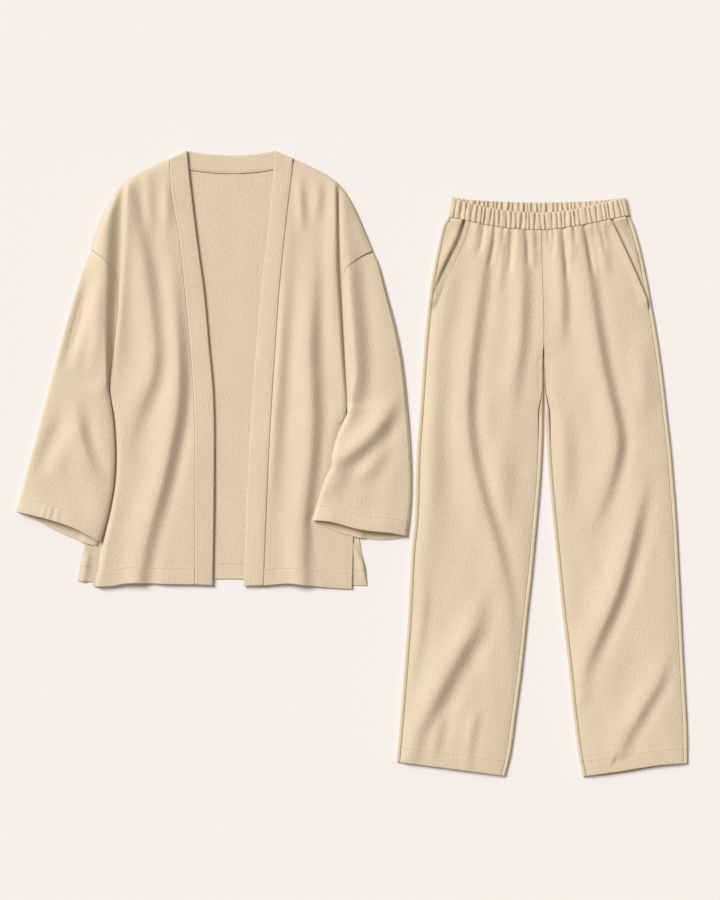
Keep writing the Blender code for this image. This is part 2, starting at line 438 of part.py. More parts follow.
def jacket_front(side):
    """A front panel with its dropped shoulder: one grid on each side of the crease line, joined on it."""
    steps = (ARM_STEPS, INNER_STEPS, 1, SIDE_STEPS)
    if side < 0:
        edge = joined(*zip((ARMHOLE_LEFT, INNER_ARMHOLE_LEFT, SIDE_LEFT[:2], SIDE_LEFT[1:]), steps))
        guide = joined(*zip((GUIDE_LEFT, INNER_GUIDE_LEFT, LOWER_GUIDE_LEFT[:2], LOWER_GUIDE_LEFT[1:]), steps))
        seam, hem, shoulder, turn = BAND_SEAM_LEFT, HEM_LEFT, SHOULDER_LEFT, 5
    else:
        edge = joined(*zip((ARMHOLE_RIGHT, INNER_ARMHOLE_RIGHT, SIDE_RIGHT[:2], SIDE_RIGHT[1:]), steps))
        guide = joined(*zip((GUIDE_RIGHT, INNER_GUIDE_RIGHT, LOWER_GUIDE_RIGHT[:2], LOWER_GUIDE_RIGHT[1:]),
                            steps))
        seam, hem, shoulder, turn = BAND_SEAM_RIGHT, HEM_RIGHT[::-1], SHOULDER_RIGHT[::-1], 5
    edge = shifted(edge, -side * SEAM)
    band = shifted(line(seam, sum(steps) + 1), side * SEAM)
    small, wide = 4, 11
    guide[0] = shoulder[turn - 1]
    hem_points = line(hem, 200)
    cut = np.abs(hem_points - guide[-1]).sum(1).argmin()
    guide[-1] = hem_points[cut]
    share = np.linspace(0, 1, small + 1)[None, :, None]
    strip = edge[:, None] * (1 - share) + guide[:, None] * share
    strip[:ARM_STEPS + 1] = patch(edge[:ARM_STEPS + 1], guide[:ARM_STEPS + 1],
                                  line([tuple(edge[0])] + shoulder[1:turn], small + 1), strip[ARM_STEPS])
    outer = strip
    outer[-1, :, 1] = on_line(hem, outer[-1, :, 0])
    inner = patch(guide, band, line(shoulder[turn - 1:-1] + [tuple(band[0])], wide + 1),
                  line([guide[-1], *hem_points[cut + 5:-5:20], band[-1]], wide + 1))
    grid = np.concatenate([outer, inner[:, 1:]], axis=1)
    if side > 0:
        grid = grid[:, ::-1]
    name = "jacket_front_left" if side < 0 else "jacket_front_right"
    return sheet(name, place(grid, body_height(grid, side)), WALL, -1, SAND)


def jacket_sleeve(side):
    """A sleeve: lower layer, folded outer edge and upper layer in one sheet."""
    if side < 0:
        lines = INNER_ARMHOLE_LEFT, UNDERARM_LEFT, BACK_INNER_LEFT, UNDER_LEFT, BACK_SIDE_LEFT
        edge, armhole, back_armhole = SLEEVE_EDGE_LEFT, ARMHOLE_LEFT, BACK_ARMHOLE_LEFT
        cuff, under_cuff = CUFF_LEFT, UNDER_CUFF_LEFT
    else:
        lines = INNER_ARMHOLE_RIGHT, UNDERARM_RIGHT, BACK_INNER_RIGHT, UNDER_RIGHT, BACK_SIDE_RIGHT
        edge, armhole, back_armhole = SLEEVE_EDGE_RIGHT, ARMHOLE_RIGHT, BACK_ARMHOLE_RIGHT
        cuff, under_cuff = CUFF_RIGHT[::-1], UNDER_CUFF_RIGHT[::-1]
    inner, underarm, back_inner, under, body = lines
    lower_steps = 9
    rows = INNER_STEPS + 1 + lower_steps
    seam = joined((inner, INNER_STEPS), (underarm[:2], 1), (underarm[1:], lower_steps))
    low_seam = joined((back_inner, BACK_STEPS), (under[:2], 1), (under[1:], rows - BACK_STEPS - 1))
    seam, low_seam = shifted(seam, side * SEAM), shifted(low_seam, side * SEAM)
    top = shifted(line(armhole, ARM_STEPS + 1), side * SEAM)
    low_top = shifted(line(back_armhole, BACK_STEPS + 1), side * SEAM)
    edge = line([tuple(top[0])] + edge[1:], rows + 1)
    bottom, low_bottom = line(cuff, ARM_STEPS + 1), line(under_cuff, 5)
    top[-1], low_top[-1], low_top[0] = seam[0], low_seam[0], edge[0]
    bottom[-1], low_bottom[-1] = seam[-1], low_seam[-1]
    upper = patch(edge, seam, top, bottom)
    beside_body = line(body, 400)
    at = np.interp(-low_seam[:, 1], -beside_body[:, 1], np.arange(400.0))
    brink = np.column_stack([np.interp(at, np.arange(400), beside_body[:, k]) for k in (0, 1)])
    brink += (side * 1.8, 0)
    down = np.arange(rows + 1) > BACK_STEPS
    brink = np.where(down[:, None], brink, low_seam + (side * 1.5, 0))
    brink[:, 0] = side * np.maximum(side * brink[:, 0], side * low_seam[:, 0] + 1.2)
    reach = np.where(down, 13.0, 4.0)[:, None]
    foot = brink + np.array([[side * 1.0, 0.0]]) * reach
    centre = (edge + foot) / 2
    brink[0], foot[0], centre[0] = low_top[3], low_top[2], low_top[1]
    lower = np.stack([edge, centre, foot, brink, low_seam], axis=1)
    lower[-1, 1:4, 1] = [on_line(under_cuff, x) for x in lower[-1, 1:4, 0]]
    half = FOLD_HEIGHT / 2
    bend = []
    for turn in np.radians([-90, -45, 0, 45, 90]):
        base = upper if turn > 0 else lower
        way = base[:, 1] - edge
        way /= np.hypot(way[:, 0], way[:, 1])[:, None]
        spot = edge + way * half * (1 - np.cos(turn))
        bend.append(np.column_stack([spot, np.full(rows + 1, half + half * np.sin(turn))]))
    low = place(lower, under_height(lower, side))
    high = place(upper, sleeve_height(upper, side))
    outer = np.concatenate([low[:, :0:-1], np.stack(bend, axis=1), high[:, 1:]], axis=1)
    turned = np.zeros(outer.shape[:2], bool)
    turned[:, 4:9] = True
    name = "jacket_sleeve_left" if side < 0 else "jacket_sleeve_right"
    return sheet(name, outer, WALL, side, SAND, turned)


def jacket_band():
    """The band: up the left front, over the shoulder, round the back neck and down the right front."""
    front, neck, turns, height_at_turn = 22, 12, 3, 7.0
    share = np.linspace(0, 1, 4)[None, :, None]

    def across(seam, edge):
        """Rows of points between two lines."""
        return seam[:, None] * (1 - share) + edge[:, None] * share

    def outward(seam, edge):
        """The way out of the neck, square to the band's end."""
        way = np.subtract(edge, seam)
        out = np.array([-way[1], way[0]]) / np.hypot(*way)
        return out * np.sign(out[1])

    fronts = []
    for seam, edge, side in ((BAND_SEAM_LEFT, BAND_EDGE_LEFT, -1), (BAND_SEAM_RIGHT, BAND_EDGE_RIGHT, 1)):
        out = outward(seam[0], edge[0])
        seam_line, edge_line = shifted(line(seam, front + 1), -side * SEAM), line(edge, front + 1)
        grid = across(seam_line, edge_line)
        down = np.linspace(0, 1, front + 1)[:, None]
        grid[0] -= out * height_at_turn * 0.42
        seat = np.maximum(body_height(grid[:, :1], side), 4.6) + 0.6
        height = seat * (1 - share[..., 0]) + 5.6 * share[..., 0]
        height = height + (height_at_turn - height) * smooth(down, 0.08, 0.0)
        fronts.append((place(grid, height), out))
    back = place(across(line(NECK_SEAM, neck + 1), line(NECK_EDGE, neck + 1)), 0.0)
    rows = [fronts[0][0][::-1]]
    for end, (grid, out) in zip((0, -1), fronts):
        back[end, :, :2] = grid[0, :, :2]
        ring = []
        for k in range(1, turns + 1):
            angle = np.pi * k / (turns + 1)
            spot = grid[0].copy()
            spot[:, :2] += out * (height_at_turn / 2) * np.sin(angle)
            spot[:, 2] = height_at_turn / 2 * (1 + np.cos(angle))
            ring.append(spot)
        rows.append(np.stack(ring if end == 0 else ring[::-1]))
    rows = [rows[0], rows[1], back, rows[2], fronts[1][0]]
    outer = np.concatenate(rows)
    return sheet("jacket_band", outer, BAND_WALL, 1, SAND, np.ones(outer.shape[:2], bool))


def curl(turned):
    """Distance inside the outline and height of five stations round a leg's edge, seam first."""
    turned = max(turned, 0.02)
    radius = TROUSER_SEAM / 2 / turned
    angle = np.pi * turned * np.array([1, 0.74, 0.48, 0.22, 0])
    out, up = radius * np.sin(angle), radius * (1 - np.cos(angle))
    tail = (SEAM_INSET - TROUSER_SEAM / 2) * smooth(turned, 0.6, 1)
    out[0] += tail * np.cos(angle[0])
    up[0] += tail * np.sin(angle[0])
    return out.max() - out, up


def leg_edge(side, which):
    """Five lines round a leg's edge, from its seam to the floor, and how far each station is turned."""
    if which == "outer":
        rows = OUTER_LEFT if side < 0 else OUTER_RIGHT
        outline = joined((rows[:6], POCKET_STEPS), (rows[5:], LEG_STEPS - POCKET_STEPS))
        turned, inward = np.ones(LEG_STEPS + 1), -side
    else:
        rows = INNER_LEFT if side < 0 else INNER_RIGHT
        outline = shifted(joined((CENTRE, CROTCH_STEPS), (rows, LEG_STEPS - CROTCH_STEPS)), side * SEAM)
        turned, inward = smooth(np.arange(LEG_STEPS + 1), CROTCH_STEPS - 1, CROTCH_STEPS + 3), side
    inside = shifted(outline, inward) - outline
    shape = np.array([curl(t) for t in turned])
    lines = [np.column_stack([outline + inside * shape[:, 0, k, None], shape[:, 1, k]]) for k in range(5)]
    return lines, turned


def trousers_front(side):
    """A front leg, cut away along the slanted pocket mouth."""
    cols = 18
    outer, _ = leg_edge(side, "outer")
    inner, turned = leg_edge(side, "inner")
    free = shifted(outer[0][:, :2], -side * SEAM)
    free[:POCKET_STEPS] = line(POCKET_LEFT if side < 0 else POCKET_RIGHT, POCKET_STEPS + 1)[:-1]
    stand_off = SEAM + 1.6 * smooth(np.arange(LEG_STEPS + 1), CROTCH_STEPS - 1, CROTCH_STEPS) \
        * (1 - smooth(np.arange(LEG_STEPS + 1), CROTCH_STEPS + 2, CROTCH_STEPS + 4))
    middle = inner[0][:, :2] + (shifted(inner[0][:, :2], side) - inner[0][:, :2]) * stand_off[:, None]
    left, right = (free, middle) if side < 0 else (middle, free)
    top_x = np.linspace(left[0, 0], right[0, 0], cols + 1)
    top = np.column_stack([top_x, on_line(WAIST_SEAM, top_x) - 2 * SEAM])
    bottom_x = np.linspace(left[-1, 0], right[-1, 0], cols + 1)
    bottom = np.column_stack([bottom_x, on_line(LEG_HEM_LEFT if side < 0 else LEG_HEM_RIGHT, bottom_x)])
    left[0], right[0], left[-1], right[-1] = top[0], top[-1], bottom[0], bottom[-1]
    grid = patch(left, right, top, bottom)
    pocket = np.abs(beside(grid, line(POCKET_LEFT if side < 0 else POCKET_RIGHT, 20))[0])
    height = np.maximum(leg_height(grid, side), 7.5 * np.exp(-(pocket / 30) ** 2))
    name = "trousers_front_left" if side < 0 else "trousers_front_right"
    return sheet(name, place(grid, height), WALL, -1, SAND)


def trousers_back(side):
    """A back leg, flat below and turned up round both edges to the seams."""
    hem = LEG_HEM_LEFT if side < 0 else BACK_HEM_RIGHT
    outer, _ = leg_edge(side, "outer")
    inner, _ = leg_edge(side, "inner")
    left, right = (outer, inner) if side < 0 else (inner, outer)
    share = np.linspace(0, 1, 5)[None, 1:-1, None]
    middle = left[-1][:, None] * (1 - share) + right[-1][:, None] * share
    grid = np.concatenate([np.stack(left, axis=1), middle, np.stack(right[::-1], axis=1)], axis=1)
    low = grid[0, :, 2] < TROUSER_SEAM / 2
    xs = grid[0, :, 0]
    grid[0, :, 1] = np.where(low, on_line(WAIST_BACK_SEAM, xs), on_line(WAIST_SEAM, xs)) - 0.6
    grid[-1, :, 1] = on_line(hem, grid[-1, :, 0])
    name = "trousers_back_left" if side < 0 else "trousers_back_right"
    turned = np.ones(grid.shape[:2], bool)
    turned[:, 5:-5] = False
    return sheet(name, grid, WALL, 1, SAND, turned)


def waistband():
    """The gathered waistband, a closed ring."""
    columns = GATHERS * 3
    half = WAIST_HEIGHT / 2
    turn = np.linspace(0, 2 * np.pi, 1601)
    x = -np.sign(np.cos(turn)) * np.abs(np.cos(turn)) ** 0.35
    z = half + half * np.sign(np.sin(turn)) * np.abs(np.sin(turn)) ** 0.9
    width = WAIST_SEAM[-1][0] - WAIST_SEAM[0][0]
    path = np.column_stack([x * width / 2, z])
    along = np.r_[0, np.cumsum(np.hypot(*np.diff(path, axis=0).T))]
    at = np.linspace(0, along[-1], columns + 1)
    x, z = np.interp(at, along, x), np.interp(at, along, z)
    share = (x + 1) / 2
    front_top, back_top = line(WAIST_TOP, 401), line(WAIST_BACK_TOP, 401)
    front_low, back_low = line(WAIST_SEAM, 401), line(WAIST_BACK_SEAM, 401)
    spot = share * 400

    def pick(points):
        """A line read at the ring's stations."""
        return np.column_stack([np.interp(spot, np.arange(401), points[:, k]) for k in (0, 1)])

    blend = smooth(z, half - 3, half + 3)[:, None]
    upper = pick(front_top) * blend + pick(back_top) * (1 - blend)
    lower = pick(front_low) * blend + pick(back_low) * (1 - blend)
    path = np.column_stack([x * width / 2, z])
    way = np.gradient(np.vstack([path[-2], path, path[1]]), axis=0)[1:-1]
    way /= np.hypot(way[:, 0], way[:, 1])[:, None]
    inward = np.column_stack([way[:, 1], -way[:, 0]])
    wave = GATHER_DEPTH / 2 * (1 - np.cos(2 * np.pi * np.arange(columns + 1) / 3))
    wave *= smooth((1 - np.abs(x)) * width / 2, 3, 9)
    rows = []
    for share_down in (0.0, 0.5, 1.0):
        plan = upper * (1 - share_down) + lower * share_down
        deep = wave * (0.85 if share_down != 0.5 else 1.0)
        rows.append(np.column_stack([plan[:, 0] + inward[:, 0] * deep, plan[:, 1], z + inward[:, 1] * deep]))
    outer = np.stack(rows)
    outer[:, -1] = outer[:, 0]
    return sheet("trousers_waistband", outer, WALL, -1, SAND, np.ones(outer.shape[:2], bool), closed=True)


def pocket_facing(side):
    """The side piece that shows beside the slanted pocket mouth."""
    outer, _ = leg_edge(side, "outer")
    seam = shifted(outer[0][:, :2], -side * SEAM)[:POCKET_STEPS + 1]
    mouth = shifted(line(POCKET_LEFT if side < 0 else POCKET_RIGHT, POCKET_STEPS + 1), -side * 9.0)
    mouth[-1] = seam[-1] + (-side * 3.0, 0)
    share = np.linspace(0, 1, 5)[None, :, None]
    grid = seam[:, None] * (1 - share) + mouth[:, None] * share
    grid[0, :, 1] = on_line(WAIST_SEAM, grid[0, :, 0]) - 2 * SEAM
    if side > 0:
        grid = grid[:, ::-1]
    name = "pocket_facing_left" if side < 0 else "pocket_facing_right"
    return sheet(name, place(grid, TROUSER_SEAM), WALL, -1, SHADE)


def clear():
    """Start from an empty scene."""
    for item in list(bpy.data.objects):
        bpy.data.objects.remove(item, do_unlink=True)


clear()
SET = bpy.data.collections.new("trouser_set")
bpy.context.scene.collection.children.link(SET)
jacket = [jacket_back(), jacket_front(-1), jacket_front(1), jacket_sleeve(-1), jacket_sleeve(1), jacket_band()]
trousers = [trousers_front(-1), trousers_front(1), trousers_back(-1), trousers_back(1), waistband(),
            pocket_facing(-1), pocket_facing(1)]
for name, at, parts in (("jacket", JACKET_AT, jacket), ("trousers", TROUSERS_AT, trousers)):
    place_at = bpy.data.objects.new(name + "_place", None)
    place_at.location = (at[0] * MM, at[1] * MM, 0)
    SET.objects.link(place_at)
    for part in parts:
        part.parent = place_at
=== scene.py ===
"""A plain two-piece trouser set in sand-coloured cloth, laid flat on a pale floor and seen from above.

The set is an open jacket with wide sleeves and trousers with a gathered waist. Every cut piece is a thin
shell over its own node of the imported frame. Tables are in millimetres: the jacket's from the middle of its
back neck and the trousers' from the middle of their front waist. Left and right are as seen from above with
the necks at the top. Lines run down the garment.
"""
import logging
from dataclasses import dataclass
from enum import Enum

import bpy
import numpy as np
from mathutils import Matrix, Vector
from mathutils.bvhtree import BVHTree
from numpy.typing import NDArray


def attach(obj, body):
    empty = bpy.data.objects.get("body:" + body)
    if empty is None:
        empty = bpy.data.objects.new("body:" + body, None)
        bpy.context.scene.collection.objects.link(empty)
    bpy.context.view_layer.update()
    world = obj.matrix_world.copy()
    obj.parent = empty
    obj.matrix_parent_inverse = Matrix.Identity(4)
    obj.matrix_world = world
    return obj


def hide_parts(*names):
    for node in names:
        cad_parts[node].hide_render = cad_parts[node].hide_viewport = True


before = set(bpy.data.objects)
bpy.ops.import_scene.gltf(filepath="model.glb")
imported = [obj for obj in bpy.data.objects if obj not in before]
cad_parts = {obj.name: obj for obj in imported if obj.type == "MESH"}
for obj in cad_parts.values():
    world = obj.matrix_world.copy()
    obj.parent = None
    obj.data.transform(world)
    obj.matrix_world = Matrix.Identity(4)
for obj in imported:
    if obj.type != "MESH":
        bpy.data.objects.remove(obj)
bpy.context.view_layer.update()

Array = NDArray[np.float64]
Quads = NDArray[np.int64]
Pair = tuple[float, float]
Triple = tuple[float, float, float]
Rows = list[Pair]
Fold = tuple[float, float, float, float, float, Rows]

log = logging.getLogger("trouser_set")

MM = 0.001
TINY = 1e-9
FULL_TURN = 6.28318
JACKET_AT = (-207.8, 537.4)     # the middle of the jacket's back neck in the set
TROUSERS_AT = (325.2, 429.4)    # the middle of the trousers' front waist in the set
SEAM = 0.06             # each side of a seam stands back by this much
CLOTH_WALL = 1.0
BAND_WALL = 2.2         # the jacket's band, folded double
WAISTBAND_WALL = 1.1
REST = 3.0              # top of a front panel that lies on the back panel
SLEEVE_REST = 6.5       # top of a sleeve that lies on the body
UNDER_SLEEVE = 3.4      # underside of a sleeve that lies on the body
SHOULDER_EDGE = 7.0     # how far the cloth takes to round up below the shoulder
FOLD_HEIGHT = 5.0       # thickness of a sleeve along its folded edge
BAND_TURN = 7.0         # height of the band where it turns over the shoulder
TROUSER_SEAM = 5.22     # height of the trousers' side and inner seams
SEAM_INSET = 7.0        # the trousers' seams show this far inside the outline
WAIST_HEIGHT = 11.5     # thickness of the gathered waist
BODY_HEM = 27.0         # depths of the hems
SLEEVE_HEM = 25.0
TROUSER_HEM = 26.0
HEM_STEP = 0.7          # extra thickness of a turned hem
HEM_REACH = 30.0        # distances from hems and rims are kept up to this, for the finish
VENT_STITCH = 9.0       # stitch lines, as distances from the edge
BAND_STITCH = 4.8
POCKET_STITCHES = (1.6, 7.4)
RIM_ROUNDING = 0.14     # a wall's edge is rounded by this share of its thickness
SPLINE_STEPS = 12       # points between two rows of a line
EDGE_STATION = 0.35     # an extra row of points lies this share of a step inside an edge
BEND_LINES = 9          # lines of points round a fold
STITCH_FACES = [face for c, d in ((0, 1), (1, 2), (2, 3), (3, 0))
                for face in ((0, 1 + d, 1 + c), (1 + c, 1 + d, 5 + d, 5 + c), (5 + c, 5 + d, 9))]


class Side(Enum):
    """Which side of a garment a piece is on, as seen from above."""

    LEFT = -1
    RIGHT = 1

    @property
    def word(self) -> str:
        """The side's name in piece names."""
        return self.name.lower()

    def from_outside(self, table: "dict[Side, Rows]") -> Rows:
        """This side's rows of a line that runs across, in order from the outer edge inwards."""
        return table[self] if self is Side.LEFT else table[self][::-1]


# Lines on the jacket: x, y in rows from top to bottom, or from left to right across it
BAND_SEAM = {
    Side.LEFT: [(-106.3, -14.3), (-104.4, -43), (-100.3, -84.3), (-87.7, -158.2), (-74, -294.1),
        (-64.8, -409.4), (-61.4, -536.6), (-61.9, -651.9), (-61.9, -745.1)],
    Side.RIGHT: [(107.7, -13.8), (104.2, -46.4), (96.3, -111.8), (83.9, -233.9), (76.4, -344), (68.8, -461),
        (62.8, -586.5), (56.2, -747.2)],
}
BAND_EDGE = {
    Side.LEFT: [(-75.7, 0), (-66, -87.7), (-54, -182.3), (-45.4, -246), (-37.5, -333.7), (-29.2, -435.2),
        (-28.6, -586.5), (-31, -747.5)],
    Side.RIGHT: [(75.7, 0), (66.2, -111.8), (53.3, -223.6), (43.5, -333.7), (36.1, -435.2), (27.5, -586.5),
        (22, -748.2)],
}
NECK_SEAM = [(-106.3, -14.3), (-91.2, -24.9), (-72.2, -33), (-36.1, -37.8), (0, -39.6), (39.6, -37.8),
    (74, -32.7), (92.9, -24.6), (107.7, -13.8)]
NECK_EDGE = [(-75.7, 0), (-39.6, -5.7), (1.7, -7.7), (43, -5.5), (75.7, 0)]
SHOULDER = {
    Side.LEFT: [(-240.1, -170.3), (-232.2, -144.5), (-219.3, -110.1), (-204.7, -84.3), (-187.5, -60.2),
        (-163.4, -42.3), (-134.2, -27.3), (-106.3, -14.3)],
    Side.RIGHT: [(107.7, -13.8), (130.7, -25.1), (161.7, -40.9), (184, -57.1), (201.2, -79.1),
        (216.7, -108.4), (231.3, -142.8), (244.2, -173)],
}
CREASE = {
    Side.LEFT: [(-184.6, -56.8), (-185.8, -125.6), (-188.7, -190.9), (-193.3, -256.3), (-201.2, -342.3),
        (-208.1, -393.9)],
    Side.RIGHT: [(183, -56.8), (184, -149.6), (185.4, -209.8), (189.2, -282.1), (194.4, -368.1),
        (199.3, -431.7)],
}
ARMHOLE = {
    Side.LEFT: [(-240.1, -170.3), (-227, -179.7), (-213.3, -190.9), (-202.1, -204.7), (-195.4, -221.9)],
    Side.RIGHT: [(244.2, -173), (230.5, -178.9), (215, -188.7), (201.2, -199.5), (190.9, -215)],
}
INNER_ARMHOLE = {
    Side.LEFT: [(-195.4, -221.9), (-195, -273.5), (-201.2, -333.7), (-208.1, -393.9)],
    Side.RIGHT: [(190.9, -215), (190.9, -273.5), (193.7, -350.9), (199.3, -431.7)],
}
RIDGE = {
    Side.LEFT: [(-193.5, -60.2), (-203.8, -84.3), (-212.2, -127.3), (-214.3, -190.9), (-214, -256.3),
        (-213.6, -325.1), (-210.9, -393.9)],
    Side.RIGHT: [(188.2, -56.8), (190.1, -149.6), (192.6, -209.8), (196.9, -282.1), (201.2, -368.1),
        (206.4, -431.7)],
}
GUIDE = {
    Side.LEFT: [(-184.6, -56.8), (-185.8, -125.6), (-187.8, -178.9), (-189.9, -221.9)],
    Side.RIGHT: [(183, -56.8), (184, -135.9), (185.1, -215)],
}
INNER_GUIDE = {
    Side.LEFT: [(-189.9, -221.9), (-189.9, -273.5), (-195.4, -333.7), (-201.9, -393.9)],
    Side.RIGHT: [(185.1, -215), (185.1, -273.5), (187.8, -350.9), (192.6, -431.7)],
}
LOWER_GUIDE = {
    Side.LEFT: [(-201.9, -393.9), (-201.4, -412.8), (-200.6, -435.2), (-198.5, -473), (-196.8, -522.9),
        (-199.2, -571), (-207.8, -620.9), (-221, -673.4), (-227, -712.1), (-225.3, -748.2)],
    Side.RIGHT: [(192.6, -431.7), (192, -450.6), (188.3, -469.6), (183, -490.2), (172, -525.5),
        (171.7, -542.7), (157.2, -572.8), (139, -634.7), (146.2, -689.7), (161.7, -749.9)],
}
BACK_ARMHOLE = {
    Side.LEFT: [(-240.1, -170.3), (-233.1, -223.6), (-224.5, -276.9)],
    Side.RIGHT: [(244.2, -173), (236.5, -228.8), (226.2, -285.5)],
}
BACK_INNER = {
    Side.LEFT: [(-224.5, -276.9), (-216.7, -333.7), (-208.1, -393.9)],
    Side.RIGHT: [(226.2, -285.5), (214.1, -356), (199.3, -431.7)],
}
FRONT_SIDE = {
    Side.LEFT: [(-208.1, -393.9), (-207.4, -412.8), (-209.8, -442), (-220.2, -531.5), (-229.6, -617.5),
        (-236.7, -679.4), (-237.4, -713.8), (-236.7, -748.7)],
    Side.RIGHT: [(199.3, -431.7), (198.3, -450.6), (202.1, -497.1), (206.4, -565.9), (210.4, -634.7),
        (210.4, -681.1), (209.2, -717.2), (208.1, -753)],
}
BACK_SIDE = {
    Side.LEFT: [(-208.1, -393.9), (-209.5, -412.8), (-215, -454.1), (-225.3, -531.5), (-238.2, -617.5),
        (-252.8, -682.8), (-258.9, -712.1), (-264, -739.6)],
    Side.RIGHT: [(199.3, -431.7), (200.9, -450.6), (206.4, -514.3), (213.3, -600.3), (221, -667.4),
        (227.9, -708.6), (235.1, -748.2)],
}
FRONT_HEM = {
    Side.LEFT: [(-236.7, -748.7), (-215, -748.7), (-192.6, -746.5), (-178.4, -743), (-147.9, -743.4),
        (-104.9, -744.8), (-61.9, -745.1)],
    Side.RIGHT: [(56.2, -747.2), (77.4, -745.3), (101.5, -743.7), (141, -748.2), (175.4, -751.6),
        (208.1, -753)],
}
BACK_HEM = [(-264, -739.6), (-238.2, -741.3), (-139.3, -737.9), (-29.2, -736.7), (22.4, -736.7),
    (118.7, -739.6), (204.7, -746.5), (235.1, -748.2)]
SLEEVE_EDGE = {
    Side.LEFT: [(-240.1, -170.3), (-251.1, -196.1), (-268.3, -247.7), (-283.8, -299.3), (-297.6, -350.9),
        (-311.3, -402.5), (-333.7, -488.5), (-352.6, -557.3), (-368.9, -620.1)],
    Side.RIGHT: [(244.2, -173), (254.6, -196.1), (268.3, -247.7), (282.1, -299.3), (294.1, -359.5),
        (303.6, -445.5), (309.6, -531.5), (309.6, -600.3), (303.8, -662.9)],
}
UNDERARM = {
    Side.LEFT: [(-208.1, -393.9), (-208.8, -412.8), (-205.4, -435.2), (-200.4, -473), (-198.1, -522.9),
        (-200.4, -571), (-209, -620.9), (-222.7, -673.4)],
    Side.RIGHT: [(199.3, -431.7), (199.9, -450.6), (193.5, -466.1), (184, -486.8), (172.7, -525.5),
        (172.3, -542.7), (157.9, -572.8), (139.8, -634.7)],
}
UNDERARM_TAIL = {
    Side.LEFT: [(-222.7, -673.4), (-236.7, -755.1)],
    Side.RIGHT: [(139.8, -634.7), (149.6, -703.5), (170.3, -758.5)],
}
LOWER_UNDERARM = {
    Side.LEFT: [(-208.1, -393.9), (-211.7, -412.8), (-211.6, -435.2), (-207.3, -473), (-203.8, -522.9),
        (-205.5, -571), (-214.1, -620.9), (-228.8, -679.4)],
    Side.RIGHT: [(199.3, -431.7), (203.3, -450.6), (202.3, -469.6), (192.6, -491.9), (180.6, -526.3),
        (177.2, -546.1), (163.4, -577.9), (144.5, -637.3)],
}
CUFF = {
    Side.LEFT: [(-368.9, -620.1), (-338.8, -626.9), (-307.9, -634.7), (-271.8, -646.7), (-242.5, -661.3),
        (-222.7, -673.4)],
    Side.RIGHT: [(139.8, -634.7), (172, -637.6), (223.1, -650.8), (276.1, -657), (303.8, -662.9)],
}
LOWER_CUFF = {
    Side.LEFT: [(-368.9, -620.1), (-344, -630.4), (-307.9, -649.6), (-276.9, -663.9), (-249.9, -674.9),
        (-228.8, -679.4)],
    Side.RIGHT: [(144.5, -637.3), (184, -655.3), (220.7, -665.3), (256.8, -668.7), (283.8, -667.4),
        (303.8, -662.9)],
}

# Folds: heights at the start, middle and end, widths to the left and right, crest line
FRONT_FOLDS = {
    Side.LEFT: [
        (2.4, 4.6, 0, 24, 14, [(-182.3, -67.1), (-160, -153.1), (-146.2, -221.9), (-137.6, -290.7),
            (-132.4, -342.3), (-137.6, -387), (-153.1, -428.3), (-170.3, -476.4), (-189.2, -548.7)]),
        (0, 5.4, 3.4, 24, 13, [(-103.2, -132.4), (-98, -256.3), (-92.9, -333.7), (-91.2, -402.5),
            (-95.5, -454.1), (-104.9, -505.7), (-116.1, -557.3), (-129.9, -608.9), (-146.2, -669.1),
            (-161.7, -751.6)]),
        (0.4, 1.3, 0, 9, 9, [(-144.5, -32.7), (-141.9, -92.9), (-135.9, -161.7)]),
        (0.2, 0.7, 0, 8, 8, [(-168.6, -53.3), (-165.1, -87.7), (-158.2, -132.4)]),
        (0, 1.6, 0, 8, 9, [(-111.8, -29.2), (-110.1, -84.3), (-108.4, -153.1)]),
    ],
    Side.RIGHT: [
        (0, 5.2, 3.6, 22, 14, [(134.2, -92.9), (139.3, -187.5), (136.7, -273.5), (134.2, -342.3),
            (136.7, -411.1), (137.6, -479.9), (133.3, -548.7), (126.4, -617.5), (122.1, -686.3),
            (120.4, -755.1)]),
        (0, 2.4, 0, 8, 12, [(98, -84.3), (91.2, -239.1), (82.6, -376.7), (74, -497.1), (65.4, -617.5),
            (61.9, -703.5)]),
        (0, 2.0, 0, 8, 8, [(115.2, -32.7), (118.7, -84.3), (123.8, -149.6)]),
        (0, 1.6, 0, 9, 9, [(149.6, -43), (149.6, -77.4), (147.9, -127.3)]),
        (0, 2.0, 0, 14, 10, [(166.8, -92.9), (170.3, -187.5), (172, -290.7), (177.2, -380.1)]),
    ],
}
VENT_FOLDS = [
    (0.4, 4.6, 3.4, 4.5, 8, [(-248.5, -682.8), (-249.4, -703.5), (-254.6, -737.9)]),
    (2.2, 4.2, 1.6, 5, 5, [(211.6, -679.4), (219.3, -698.3), (226.2, -715.5), (228.8, -739.6)]),
]
